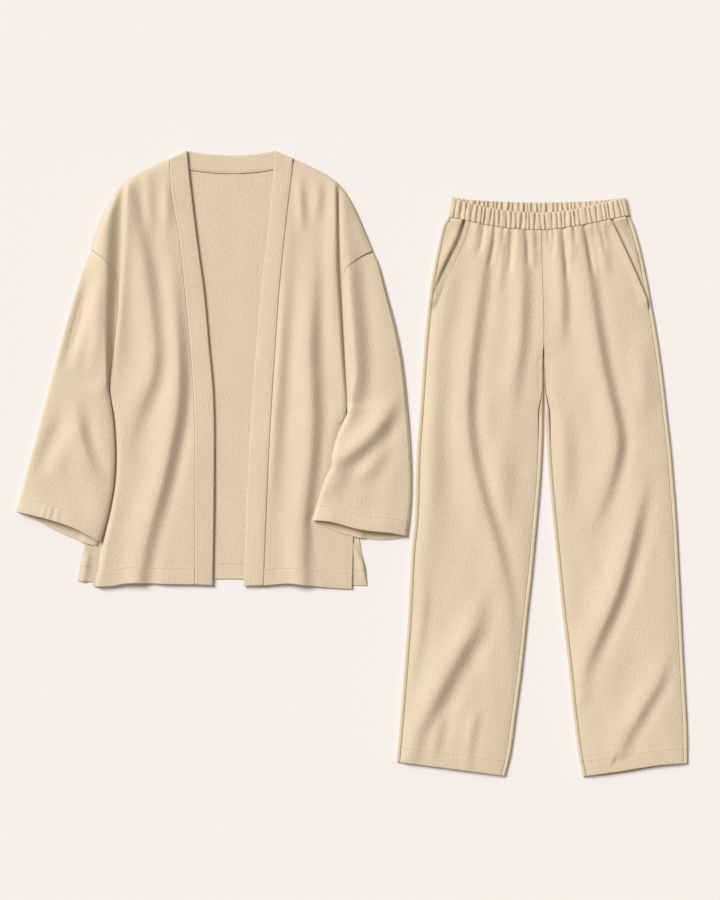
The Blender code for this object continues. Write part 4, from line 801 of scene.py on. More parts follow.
@dataclass
class Panel:
    """One cut piece of cloth.

    Attributes:
        name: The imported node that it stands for.
        outer: A grid of points on its outer side, in millimetres on its garment.
        up: 1 where the grid's rows and columns turn the outer side up, -1 where they turn it down.
        wall: Thickness of the shell.
        turned: Where the wall goes along the surface's normal, and not straight down. None is nowhere.
        closed: Whether the last column meets the first.
        hem: Distance inside the hem's stitch line. None is a piece with no hem.
    """

    name: str
    outer: Array
    up: int
    wall: float = CLOTH_WALL
    turned: Array | None = None
    closed: bool = False
    hem: Array | None = None

    def inward(self) -> Array:
        """The way from the outer side to the inner side, at each point, times the wall."""
        if self.closed:
            wide = np.concatenate([self.outer[:, -2:-1], self.outer, self.outer[:, 1:2]], axis=1)
            across = np.gradient(wide, axis=1)[:, 1:-1]
        else:
            across = np.gradient(self.outer, axis=1)
        normal = np.cross(across, np.gradient(self.outer, axis=0))
        normal *= self.up / np.maximum(np.linalg.norm(normal, axis=2), TINY)[..., None]
        straight = np.zeros_like(normal)
        facing = np.where(np.median(normal[..., 2], axis=0) < 0, -1.0, 1.0)
        straight[..., 2] = facing / np.maximum(np.abs(normal[..., 2]), 0.8)
        turned = np.zeros(self.outer.shape[:2], bool) if self.turned is None else self.turned
        return -np.where(turned[..., None], normal, straight) * self.wall

    def shell(self) -> tuple[Array, Quads]:
        """The points and the faces of the closed shell, with a rounded rim."""
        outer = self.outer.copy()
        inner = outer + self.inward()
        rows, cols = outer.shape[:2]
        index = np.arange(rows * cols).reshape(rows, cols)
        if self.closed:
            index[:, -1] = index[:, 0]
        corners = index[:-1, :-1], index[1:, :-1], index[1:, 1:], index[:-1, 1:]
        quads = np.stack(corners, axis=-1).reshape(-1, 4)
        make_rim = self.ring_rims if self.closed else self.sheet_rim
        rim, rim_faces = make_rim(outer, inner, index)
        points = np.vstack([outer.reshape(-1, 3), inner.reshape(-1, 3), rim])
        points[:, 2] = np.maximum(points[:, 2], 0.0)
        faces = np.vstack([quads, quads[:, ::-1] + index.size, *rim_faces])
        return points, faces[:, ::-1] if self.up < 0 else faces

    def ring_rims(self, outer: Array, inner: Array, index: Quads) -> tuple[Array, list[Quads]]:
        """The rims at both ends of a closed ring: their points, and faces to both layers."""
        cols, total = index.shape[1], index.size
        points, faces = [], []
        for turn, (at, way) in enumerate(((0, 1), (-1, -1))):
            points.append((outer[at] + inner[at]) / 2)
            loop = index[at][::way]
            ring = 2 * total + turn * cols + np.arange(cols)
            ring[-1] = ring[0]
            ring = ring[::way]
            faces.append(np.stack([loop[:-1], loop[1:], ring[1:], ring[:-1]], axis=-1))
            faces.append(np.stack([ring[:-1], ring[1:], loop[1:] + total, loop[:-1] + total], axis=-1))
        return np.vstack(points), faces

    def sheet_rim(self, outer: Array, inner: Array, index: Quads) -> tuple[Array, list[Quads]]:
        """The rim all round an open sheet, whose layers are drawn in a little beside it."""
        rows, cols = index.shape
        down, across = np.arange(rows), np.arange(cols)
        at = (np.r_[np.zeros(cols - 1, int), down[:-1], np.full(cols - 1, rows - 1), down[:0:-1]],
              np.r_[across[:-1], np.full(rows - 1, cols - 1), across[:0:-1], np.zeros(rows - 1, int)])
        near = np.clip(at[0], 1, rows - 2), np.clip(at[1], 1, cols - 2)
        points = (outer[at] + inner[at]) / 2
        for layer in (outer, inner):
            way = layer[near] - layer[at]
            way /= np.maximum(np.linalg.norm(way, axis=1), TINY)[:, None]
            layer[at] += way * RIM_ROUNDING * min(self.wall, 1.2)
        loop, total = index[at], index.size
        ring = 2 * total + np.arange(len(loop))
        ahead, ring_ahead = np.roll(loop, -1), np.roll(ring, -1)
        return points, [np.stack([loop, ahead, ring_ahead, ring], axis=-1),
                        np.stack([ring, ring_ahead, ahead + total, loop + total], axis=-1)]

    def attributes(self, count: int) -> dict[str, Array]:
        """Values for the cloth's finish at the shell's points.

        Args:
            count: Number of points of the shell.

        Returns:
            The cut's own x, y and 0 in metres, and the distances inside the hem's line and from the rim in
            millimetres.
        """
        steps = np.linalg.norm(np.diff(self.outer, axis=1), axis=2)
        across = np.concatenate([np.zeros((len(steps), 1)), np.cumsum(steps, axis=1)], axis=1)
        across -= across[:, across.shape[1] // 2][:, None]
        steps = np.linalg.norm(np.diff(self.outer, axis=0), axis=2)
        along = np.concatenate([np.zeros((1, steps.shape[1])), np.cumsum(steps, axis=0)], axis=0)
        rim = np.minimum(np.minimum(along, along[-1] - along), HEM_REACH)
        if not self.closed:
            side = across - across[:, :1]
            rim = np.minimum(rim, np.minimum(side, side[:, -1:] - side))
        hem = np.full(rim.shape, -HEM_REACH) if self.hem is None else self.hem
        hem = np.clip(hem, -HEM_REACH, 2 * HEM_REACH)
        tail = np.zeros(count - 2 * hem.size)
        x, y = (np.concatenate([part.ravel(), part.ravel(), tail]) * MM for part in (across, along))
        return {
            "cut": np.column_stack([x, y, np.zeros(count)]),
            "hem": np.concatenate([hem.ravel(), hem.ravel(), tail + HEM_REACH]),
            "rim": np.concatenate([rim.ravel(), rim.ravel(), tail]),
        }

    def build(self, at: Pair, material: bpy.types.Material) -> bpy.types.Object:
        """Makes the mesh object.

        Args:
            at: Where the garment's own origin lies in the set, in millimetres.
            material: The cloth's material.

        Returns:
            The object.
        """
        points, faces = self.shell()
        points = (points + (*at, 0.0)) * MM
        mesh = bpy.data.meshes.new(self.name)
        mesh.from_pydata(points.tolist(), [], faces.tolist())
        for name, values in self.attributes(len(points)).items():
            kind, key = ("FLOAT_VECTOR", "vector") if values.ndim == 2 else ("FLOAT", "value")
            mesh.attributes.new(name, kind, "POINT").data.foreach_set(key, values.ravel())
        return added(self.name + "_cloth", mesh, material)

    def area(self) -> float:
        """The cloth's area in square metres, from the outer side."""
        a = self.outer[1:, 1:] - self.outer[:-1, :-1]
        b = self.outer[1:, :-1] - self.outer[:-1, 1:]
        return float(np.linalg.norm(np.cross(a, b), axis=2).sum() / 2 * MM * MM)


def added(name: str, mesh: bpy.types.Mesh, material: bpy.types.Material) -> bpy.types.Object:
    """Finishes a mesh and puts it into the scene as an object."""
    mesh.materials.append(material)
    mesh.shade_smooth()
    mesh.update()
    piece = bpy.data.objects.new(name, mesh)
    bpy.context.scene.collection.objects.link(piece)
    return piece


@dataclass(frozen=True)
class Stitching:
    """Rows of single stitches along lines on a piece, in millimetres.

    Each stitch is a short bar with four sides, whose ends dip into the cloth.
    """

    length: float = 2.7
    gap: float = 0.7
    thickness: float = 0.62
    lift: float = 0.12
    dip: float = 0.1
    steepest: float = 3.0

    def spots(self, tree: BVHTree, first: Array, last: Array, at: Pair) -> list[Array]:
        """Where a stitch's start, middle and end meet the cloth below them."""
        spots = []
        for spot in (first, (first + last) / 2, last):
            above = Vector(((spot[0] + at[0]) * MM, (spot[1] + at[1]) * MM, 1.0))
            hit = tree.ray_cast(above, Vector((0, 0, -1)))[0]
            if hit is not None:
                spots.append(np.array(hit) / MM)
        return spots

    def bar(self, first: Array, middle: Array, last: Array) -> list[Array]:
        """The ten points of one stitch."""
        way = (last - first) / np.linalg.norm(last - first)
        side, radius = np.cross(way, (0, 0, 1.0)), self.thickness / 2
        points = [first - (0, 0, self.dip)]
        for share in (0.25, 0.75):
            mid = first * (1 - share) + last * share
            mid[2] = max(mid[2], middle[2])
            points += [mid + (0, 0, self.lift) + side * out * radius + (0, 0, up * radius)
                       for out, up in ((1, 0), (0, 1), (-1, 0), (0, -1))]
        return points + [last - (0, 0, self.dip)]

    def build(self, name: str, piece: bpy.types.Object, lines: list[Array], at: Pair,
              material: bpy.types.Material) -> bpy.types.Object:
        """Lays stitches on a piece.

        Args:
            name: The new piece's name.
            piece: The cloth that they are sewn into.
            lines: Lines seen from above, in millimetres on the garment.
            at: The garment's origin in the set.
            material: The thread's material.

        Returns:
            The stitches as one object.
        """
        mesh = piece.data
        points = np.zeros(len(mesh.vertices) * 3)
        mesh.vertices.foreach_get("co", points)
        tree = BVHTree.FromPolygons([tuple(p) for p in points.reshape(-1, 3)],
                                    [tuple(face.vertices) for face in mesh.polygons])
        verts, faces = [], []
        for path in lines:
            run = np.hypot(*np.diff(path, axis=0).T).sum()
            count = int(run / (self.length + self.gap))
            dense = line(path, count * 8 + 1)
            for start in range(0, count * 8, 8):
                spots = self.spots(tree, dense[start], dense[start + 6], at)
                if len(spots) < 3 or abs(spots[0][2] - spots[2][2]) > self.steepest:
                    continue
                faces += [tuple(len(verts) + corner for corner in face) for face in STITCH_FACES]
                verts += self.bar(*spots)
        data = bpy.data.meshes.new(name)
        data.from_pydata([tuple(v * MM) for v in verts], [], faces)
        return added(name, data, material)


@dataclass
class Garment:
    """What the jacket and the trousers share: a place in the set, a cloth and a thread."""

    at: Pair
    cloth: bpy.types.Material
    thread: bpy.types.Material
    slot: str

    def add(self, panel: Panel, flat: Pair, held: Hold, rests_on: list[str], stitches: list[Array],
            cloth: bpy.types.Material | None = None, slot: str | None = None) -> None:
        """Builds a panel with its stitching and hands both to the frame.

        Args:
            panel: The piece.
            flat: The cut's width and length in metres.
            held: How it is held. Not used.
            rests_on: What it lies on. Not used.
            stitches: Lines of stitching on it.
            cloth: Its material, where it isn't the garment's own.
            slot: Its material slot, where it isn't the garment's own. Not used.
        """
        piece = panel.build(self.at, cloth or self.cloth)
        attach(piece, "root")
        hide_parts(panel.name)
        if stitches:
            threads = Stitching().build(panel.name + "_stitches", piece, stitches, self.at, self.thread)
            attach(threads, "root")
        area = panel.area()
        log.info("%s: %d points, area %.4f m2, flat %s", panel.name, len(piece.data.vertices), area, flat)


@dataclass
class Jacket(Garment):
    """An open jacket: back, two fronts with dropped shoulders, two wide sleeves and one long band."""

    fold_gain: float = 1.85
    wrinkle: float = 0.62
    arm_steps: int = 20
    inner_steps: int = 56
    short_steps: int = 6
    side_steps: int = 110
    across_steps: int = 48
    sleeve_steps: int = 84
    sleeve_across: int = 52
    under_steps: int = 30
    back_steps: tuple[int, ...] = (20, 20, 6, 72)
    band_steps: int = 230

    def crease(self, side: Side) -> Array:
        """The crease beside the arm and on down the underarm seam."""
        return np.vstack([line(CREASE[side], 30), line(UNDERARM[side], 30)[1:]])

    def body_height(self, xy: Array, side: Side) -> Array:
        """Top of a front panel."""
        s, shape = side.value, ARMS[side]
        across, along = beside(xy, np.vstack([self.crease(side), line(UNDERARM_TAIL[side], 8)[1:]]))
        inside = -s * across - 2.5 * smooth(along, 0.5, 0.55)
        shoulder = rise(away(xy, SHOULDER[side], 30), SHOULDER_EDGE)
        edge = shape.body_edge + shape.body_edge_low * smooth(along, 0.42, 0.62)
        low = smooth(along, 0.72, 0.88)
        lean = shape.lean * (2.2 + 2.8 * low) * np.exp(-np.maximum(inside, 0) / (8 + 10 * low))
        folds = FoldTable(FRONT_FOLDS[side], self.fold_gain).height(xy)
        body = (3.6 + folds + self.wrinkle * ripple(xy, 1.3 + s)
                + 6.0 * bell(np.maximum(inside, 0), 15) * smooth(along, 0.5, 0.3)
                + lean * smooth(along, 0.48, 0.56))
        body = np.maximum(body, 0.6) * rise(inside, edge) * shoulder
        arm = self.sleeve_shape(xy, side) * self.bank(-inside, xy, side) * shoulder
        arm *= smooth(along, 0.46, 0.36)
        return REST + np.where(inside > 0, body, arm)

    def sleeve_shape(self, xy: Array, side: Side) -> Array:
        """How far a sleeve's upper layer stands up, away from its edges."""
        s, arm = side.value, ARMS[side]
        across, along = beside(xy, self.crease(side))
        past = np.maximum(s * across - self.well(xy, side), 0)
        roll = arm.roll * bell(past, arm.roll_width) * smooth(along, 0.58, 0.40)
        shape = 5.2 + roll + FoldTable(SLEEVE_FOLDS[side], self.fold_gain).height(xy)
        return np.maximum(shape + self.wrinkle * ripple(xy, 4.1 + s, 0.2 * s), 0.5)

    def well(self, xy: Array, side: Side) -> Array:
        """Width of the hollow between the body and the arm's ridge, at each point's own height."""
        y = -xy[..., 1]
        crease, ridge = (np.interp(y, -points[:, 1], points[:, 0])
                         for points in (line(CREASE[side], 60), line(RIDGE[side], 60)))
        return 2 + np.abs(crease - ridge)

    def bank(self, distance: Array, xy: Array, side: Side) -> Array:
        """0 at the crease, climbing steeply to 1 at the arm's ridge, which stays crisp."""
        share = np.clip(distance / self.well(xy, side), 0, 1)
        return 0.1 * share + 0.9 * smooth(share, *ARMS[side].bank)

    def cuff_lift(self, xy: Array, side: Side) -> Array:
        """How far the upper layer stands open at the cuff, most of all in the middle."""
        ends = np.array(CUFF[side])[[0, -1], 0]
        middle = np.clip((xy[..., 0] - ends[0]) / (ends[1] - ends[0]), 0, 1)
        return (2.0 + 4.6 * np.sin(np.pi * middle)) * bell(away(xy, CUFF[side], 30), 26)

    def sleeve_height(self, xy: Array, side: Side) -> Array:
        """Top of a sleeve's upper layer."""
        arm = ARMS[side]
        across, along = beside(xy, self.crease(side))
        outside = side.value * across
        below = smooth(along, 0.495, 0.54)
        lift = self.sleeve_shape(xy, side) * rise(away(xy, SHOULDER[side], 30), SHOULDER_EDGE)
        lift *= self.bank(outside, xy, side) * (1 - below) + rise(outside, arm.seam_edge) * below
        near = bell(np.maximum(outside, 0), 60)
        rest = REST + (SLEEVE_REST - REST) * below * np.maximum(near, smooth(outside, 70, 20))
        full = rest + lift + self.cuff_lift(xy, side)
        fold = self.fold_height(xy[:, :1], side)
        return fold + (np.maximum(full, 1.8) - fold) * rise(away(xy, SLEEVE_EDGE[side], 40), arm.fold_edge)

    def fold_height(self, xy: Array, side: Side) -> Array:
        """Thickness of a sleeve along its folded edge: thin at the shoulder, then even all the way down."""
        corner = np.array(SLEEVE_EDGE[side][0])
        return REST + (FOLD_HEIGHT - REST) * smooth(np.linalg.norm(xy - corner, axis=-1), 0, 60)

    def under_height(self, xy: Array, side: Side) -> Array:
        """Underside of a sleeve's lower layer: on the floor, and up over the body's side."""
        across, along = beside(xy, line(BACK_SIDE[side], 60))
        outside = -side.value * across
        return (UNDER_SLEEVE * smooth(outside, -15, -1.5) * smooth(along, 0.002, 0.045)
                + 1.1 * smooth(outside, -18, -40) * np.maximum(ripple(xy, 9.1 + side.value), 0))

    def back_edge(self, side: Side) -> Array:
        """The back panel's side, from the shoulder's end to the hem, drawn in a little at the top."""
        tables = BACK_ARMHOLE[side], BACK_INNER[side], BACK_SIDE[side][:2], BACK_SIDE[side][1:]
        edge = shifted(joined(*zip(tables, self.back_steps)), -side.value * SEAM)
        edge[:, 0] -= side.value * 3 * smooth(np.arange(len(edge)), 16, 0)
        return edge

    def back(self) -> None:
        """The back panel, flat on the floor."""
        left, right = (self.back_edge(side) for side in Side)
        neck = line(NECK_SEAM, 49) - (0, 4 * SEAM)
        neck[[0, -1], 1] -= 6
        shoulders = [shifted(line(SHOULDER[side], 33), 1.2) for side in Side]
        top = np.vstack([shoulders[0][:-1], neck, shoulders[1][1:]])
        top[0], top[-1] = left[0], right[0]
        bottom = line(BACK_HEM, len(top))
        bottom[0], bottom[-1] = left[-1], right[-1]
        grid = resampled(patch(left, right, top, bottom), graded(len(left) - 1), graded(len(top) - 1))
        seen = smooth(np.abs(grid[..., 0]), 60, 30) * smooth(-grid[..., 1], 40, 80)
        hidden = 0.55 * np.maximum(ripple(grid, 2.9), 0)
        height = (0.25 + 0.25 * ripple(grid, 0.4)) * seen + hidden * (1 - seen)
        height += FoldTable(VENT_FOLDS).height(grid)
        outer, inside = place(grid, np.maximum(height, 0.0)), BODY_HEM - away(grid, BACK_HEM)
        panel = Panel("jacket_back", outer, 1, hem=inside)
        stitch = line(BACK_HEM, 80) + (0, BODY_HEM)
        seen_stitch = stitch[(stitch[:, 0] > -40) & (stitch[:, 0] < 34)]
        self.add(panel, (0.52, 0.75), Hold.LAID, ["floor"], [seen_stitch])

    def front_grid(self, side: Side) -> Array:
        """A front panel's points seen from above: one grid on each side of the crease line, joined on it."""
        s, arm = side.value, self.arm_steps
        steps = (arm, self.inner_steps, self.short_steps, self.side_steps)
        edge_rows = ARMHOLE[side], INNER_ARMHOLE[side], FRONT_SIDE[side][:2], FRONT_SIDE[side][1:]
        guide_rows = GUIDE[side], INNER_GUIDE[side], LOWER_GUIDE[side][:2], LOWER_GUIDE[side][1:]
        hem, shoulder, turn = side.from_outside(FRONT_HEM), side.from_outside(SHOULDER), 5
        edge = shifted(joined(*zip(edge_rows, steps)), -s * SEAM)
        guide = joined(*zip(guide_rows, steps))
        band = shifted(line(BAND_SEAM[side], sum(steps) + 1), s * SEAM)
        guide[0] = shoulder[turn - 1]
        hem_points = line(hem, 200)
        cut = int(np.abs(hem_points - guide[-1]).sum(1).argmin())
        guide[-1] = hem_points[cut]
        shares = np.linspace(0, 1, 13)
        strip = between(edge, guide, shares)
        strip[:arm + 1] = patch(edge[:arm + 1], guide[:arm + 1],
                                line([tuple(edge[0])] + shoulder[1:turn], len(shares)), strip[arm])
        strip[-1, :, 1] = on_line(hem, strip[-1, :, 0])
        inner = patch(guide, band, line(shoulder[turn - 1:-1] + [tuple(band[0])], self.across_steps + 1),
                      line([guide[-1], *hem_points[cut + 5:-5:20], band[-1]], self.across_steps + 1))
        grid = np.concatenate([strip, inner[:, 1:]], axis=1)
        grid = grid if side is Side.LEFT else grid[:, ::-1]
        return resampled(grid, graded(grid.shape[0] - 1), graded(grid.shape[1] - 1))

    def front(self, side: Side) -> None:
        """A front panel with its dropped shoulder."""
        grid, hem = self.front_grid(side), side.from_outside(FRONT_HEM)
        inside = BODY_HEM - away(grid, hem)
        height = self.body_height(grid, side) + hem_step(inside)
        panel = Panel(f"jacket_front_{side.word}", place(grid, height), -1, hem=inside)
        stitch = line(hem, 80) + (0, BODY_HEM)
        vent = shifted(line(FRONT_SIDE[side][5:], 20), -side.value * VENT_STITCH)[:-1]
        self.add(panel, (0.30, 0.76), Hold.LAID, ["jacket_back_cloth"], [stitch[1:-1], vent])

    def sleeve_lower(self, edge: Array, side: Side) -> Array:
        """A sleeve's lower layer seen from above, from its folded edge to its seam over the body's side."""
        s, steps, under = side.value, self.under_steps, LOWER_UNDERARM[side]
        down = np.arange(len(edge))
        last = len(edge) - 1
        seam = shifted(joined((BACK_INNER[side], steps), (under[:2], self.short_steps),
                              (under[1:], last - steps - self.short_steps)), s * SEAM)
        top = shifted(line(BACK_ARMHOLE[side], 5), s * SEAM)
        top[-1], top[0] = seam[0], edge[0]
        body = line(BACK_SIDE[side], 400)
        at = np.interp(-seam[:, 1], -body[:, 1], np.arange(400.0))
        brink = np.column_stack([np.interp(at, np.arange(400), body[:, k]) for k in (0, 1)]) + (s * 1.8, 0)
        brink = np.where((down > steps)[:, None], brink, seam + (s * 1.5, 0))
        brink[:, 0] = s * np.maximum(s * brink[:, 0], s * seam[:, 0] + 1.2)
        reach = 4.0 + 9.0 * smooth(down, steps, steps + 7)
        foot = brink + np.array([[s * 1.0, 0.0]]) * reach[:, None]
        centre = (edge + foot) / 2
        for k in range(steps // 4 + 1):
            share = smooth(k, steps // 4, 0)
            for target, corner in ((brink, top[3]), (foot, top[2]), (centre, top[1])):
                target[k] = target[k] * (1 - share) + (corner + (edge[k] - edge[0])) * share
        lower, cuff = np.stack([edge, centre, foot, brink, seam], axis=1), side.from_outside(LOWER_CUFF)
        for k in (1, 2, 3):
            shift = on_line(cuff, lower[-1, k, 0]) - lower[-1, k, 1]
            lower[:, k, 1] += shift * smooth(down, last - 50, last)
        stations = [np.linspace(k, k + 1, count)[min(k, 1):] for k, count in enumerate((13, 13, 7, 4))]
        lower = resampled(lower, None, np.concatenate(stations))
        shift = on_line(cuff, lower[-1, 1:-1, 0]) - lower[-1, 1:-1, 1]
        lower[:, 1:-1, 1] += shift * smooth(down, last - 12, last)[:, None]
        return lower

    def sleeve_bend(self, edge: Array, lower: Array, upper: Array, side: Side) -> Array:
        """The half turn round a sleeve's folded edge, from its lower layer to its upper one."""
        half = self.fold_height(edge, side) / 2
        bend = []
        for turn in np.radians(np.linspace(-90, 90, BEND_LINES)):
            base = upper if turn > 0 else lower
            way = base[:, 1] - edge
            way /= np.hypot(way[:, 0], way[:, 1])[:, None]
            spot = edge + way * half[:, None] * (1 - np.cos(turn))
            bend.append(np.column_stack([spot, half + half * np.sin(turn)]))
        return np.stack(bend, axis=1)

    def sleeve(self, side: Side) -> None:
        """A sleeve: lower layer, folded outer edge and upper layer in one sheet."""
        s, wide, underarm = side.value, self.sleeve_across + 1, UNDERARM[side]
        cuff, lower_cuff = side.from_outside(CUFF), side.from_outside(LOWER_CUFF)
        seam = shifted(joined((INNER_ARMHOLE[side], self.inner_steps), (underarm[:2], self.short_steps),
                              (underarm[1:], self.sleeve_steps)), s * SEAM)
        top, bottom = shifted(line(ARMHOLE[side], wide), s * SEAM), line(cuff, wide)
        edge = line([tuple(top[0])] + SLEEVE_EDGE[side][1:], len(seam))
        top[-1], bottom[-1] = seam[0], seam[-1]
        upper, lower = patch(edge, seam, top, bottom), self.sleeve_lower(edge, side)
        spread = rise(np.linalg.norm(lower - edge[:, None], axis=2), 12) ** 2
        low = place(lower, self.under_height(lower, side) * spread)
        high = place(upper, self.sleeve_height(upper, side) + hem_step(SLEEVE_HEM - away(upper, cuff)))
        bend = self.sleeve_bend(edge, lower, upper, side)
        outer = np.concatenate([low[:, :0:-1], bend, high[:, 1:]], axis=1)
        outer = resampled(outer, graded(outer.shape[0] - 1), None)
        first = lower.shape[1] - 1
        turned = np.zeros(outer.shape[:2], bool)
        turned[:, first:first + BEND_LINES] = True
        below = np.arange(outer.shape[1]) < first + BEND_LINES // 2
        hem = SLEEVE_HEM - np.where(below, away(outer[..., :2], lower_cuff), away(outer[..., :2], cuff))
        panel = Panel(f"jacket_sleeve_{side.word}", outer, s, turned=turned, hem=hem)
        stitch = shifted(line(cuff, 80), -s * SLEEVE_HEM)
        self.add(panel, (0.50, 0.52), Hold.LAID, ["jacket_front_%s_cloth" % side.word], [stitch[2:-2]])

    def band_side(self, side: Side, shares: Array) -> tuple[Array, Array]:
        """The band on one front, from the shoulder down, and the way out over that shoulder."""
        count, seam, edge = self.band_steps + 1, BAND_SEAM[side], BAND_EDGE[side]
        way = np.subtract(edge[0], seam[0])
        out = np.array([-way[1], way[0]]) / np.hypot(*way)
        out = out * np.sign(out[1])
        grid = between(shifted(line(seam, count), -side.value * SEAM), line(edge, count), shares)
        down = np.linspace(0, 1, count)[:, None]
        grid[0] -= out * BAND_TURN * 0.42
        ease = smooth(np.arange(count), 8, 0)[:, None, None]
        grid[1:] -= out * BAND_TURN * 0.42 * ease[1:] * 0.6
        seat = np.maximum(self.body_height(grid[:, :1], side), 4.6) + 0.6
        height = seat * (1 - shares) + 5.6 * shares
        swell = 0.5 * np.sin(np.pi * shares) + 0.35 * ripple(grid, 7.7 + side.value)
        height = height + swell * smooth(down, 0.0, 0.1)
        height = height + (BAND_TURN - height) * smooth(down, 0.08, 0.0)
        return place(grid, height), out

    def band_turn(self, top: Array, out: Array) -> Array:
        """The band's half turn over a shoulder, from the front's first row to the back of the neck."""
        rows = []
        for angle in np.pi * np.arange(1, BEND_LINES + 1) / (BEND_LINES + 1):
            spot = top.copy()
            spot[:, :2] += out * (BAND_TURN / 2) * np.sin(angle)
            spot[:, 2] = BAND_TURN / 2 * (1 + np.cos(angle))
            rows.append(spot)
        return np.stack(rows)

    def band(self) -> None:
        """The band: up the left front, over the shoulder, round the back neck and down the right front."""
        neck, shares = 61, np.linspace(0, 1, 13)
        (left, left_out), (right, right_out) = (self.band_side(side, shares) for side in Side)
        back = place(between(line(NECK_SEAM, neck), line(NECK_EDGE, neck), shares), 0.0)
        back[0, :, :2], back[-1, :, :2] = left[0, :, :2], right[0, :, :2]
        outer = np.concatenate([left[::-1], self.band_turn(left[0], left_out), back,
                                self.band_turn(right[0], right_out)[::-1], right])
        panel = Panel("jacket_band", outer, 1, BAND_WALL, np.ones(outer.shape[:2], bool))
        lines = [shifted(line(BAND_SEAM[side], 200), -side.value * BAND_STITCH)[4:-1] for side in Side]
        lines.append(line(NECK_SEAM, 60)[6:-6] + (0, 4.0))
        fronts = ["jacket_front_left_cloth", "jacket_front_right_cloth"]
        self.add(panel, (0.036, 1.72), Hold.LAID, fronts, lines)


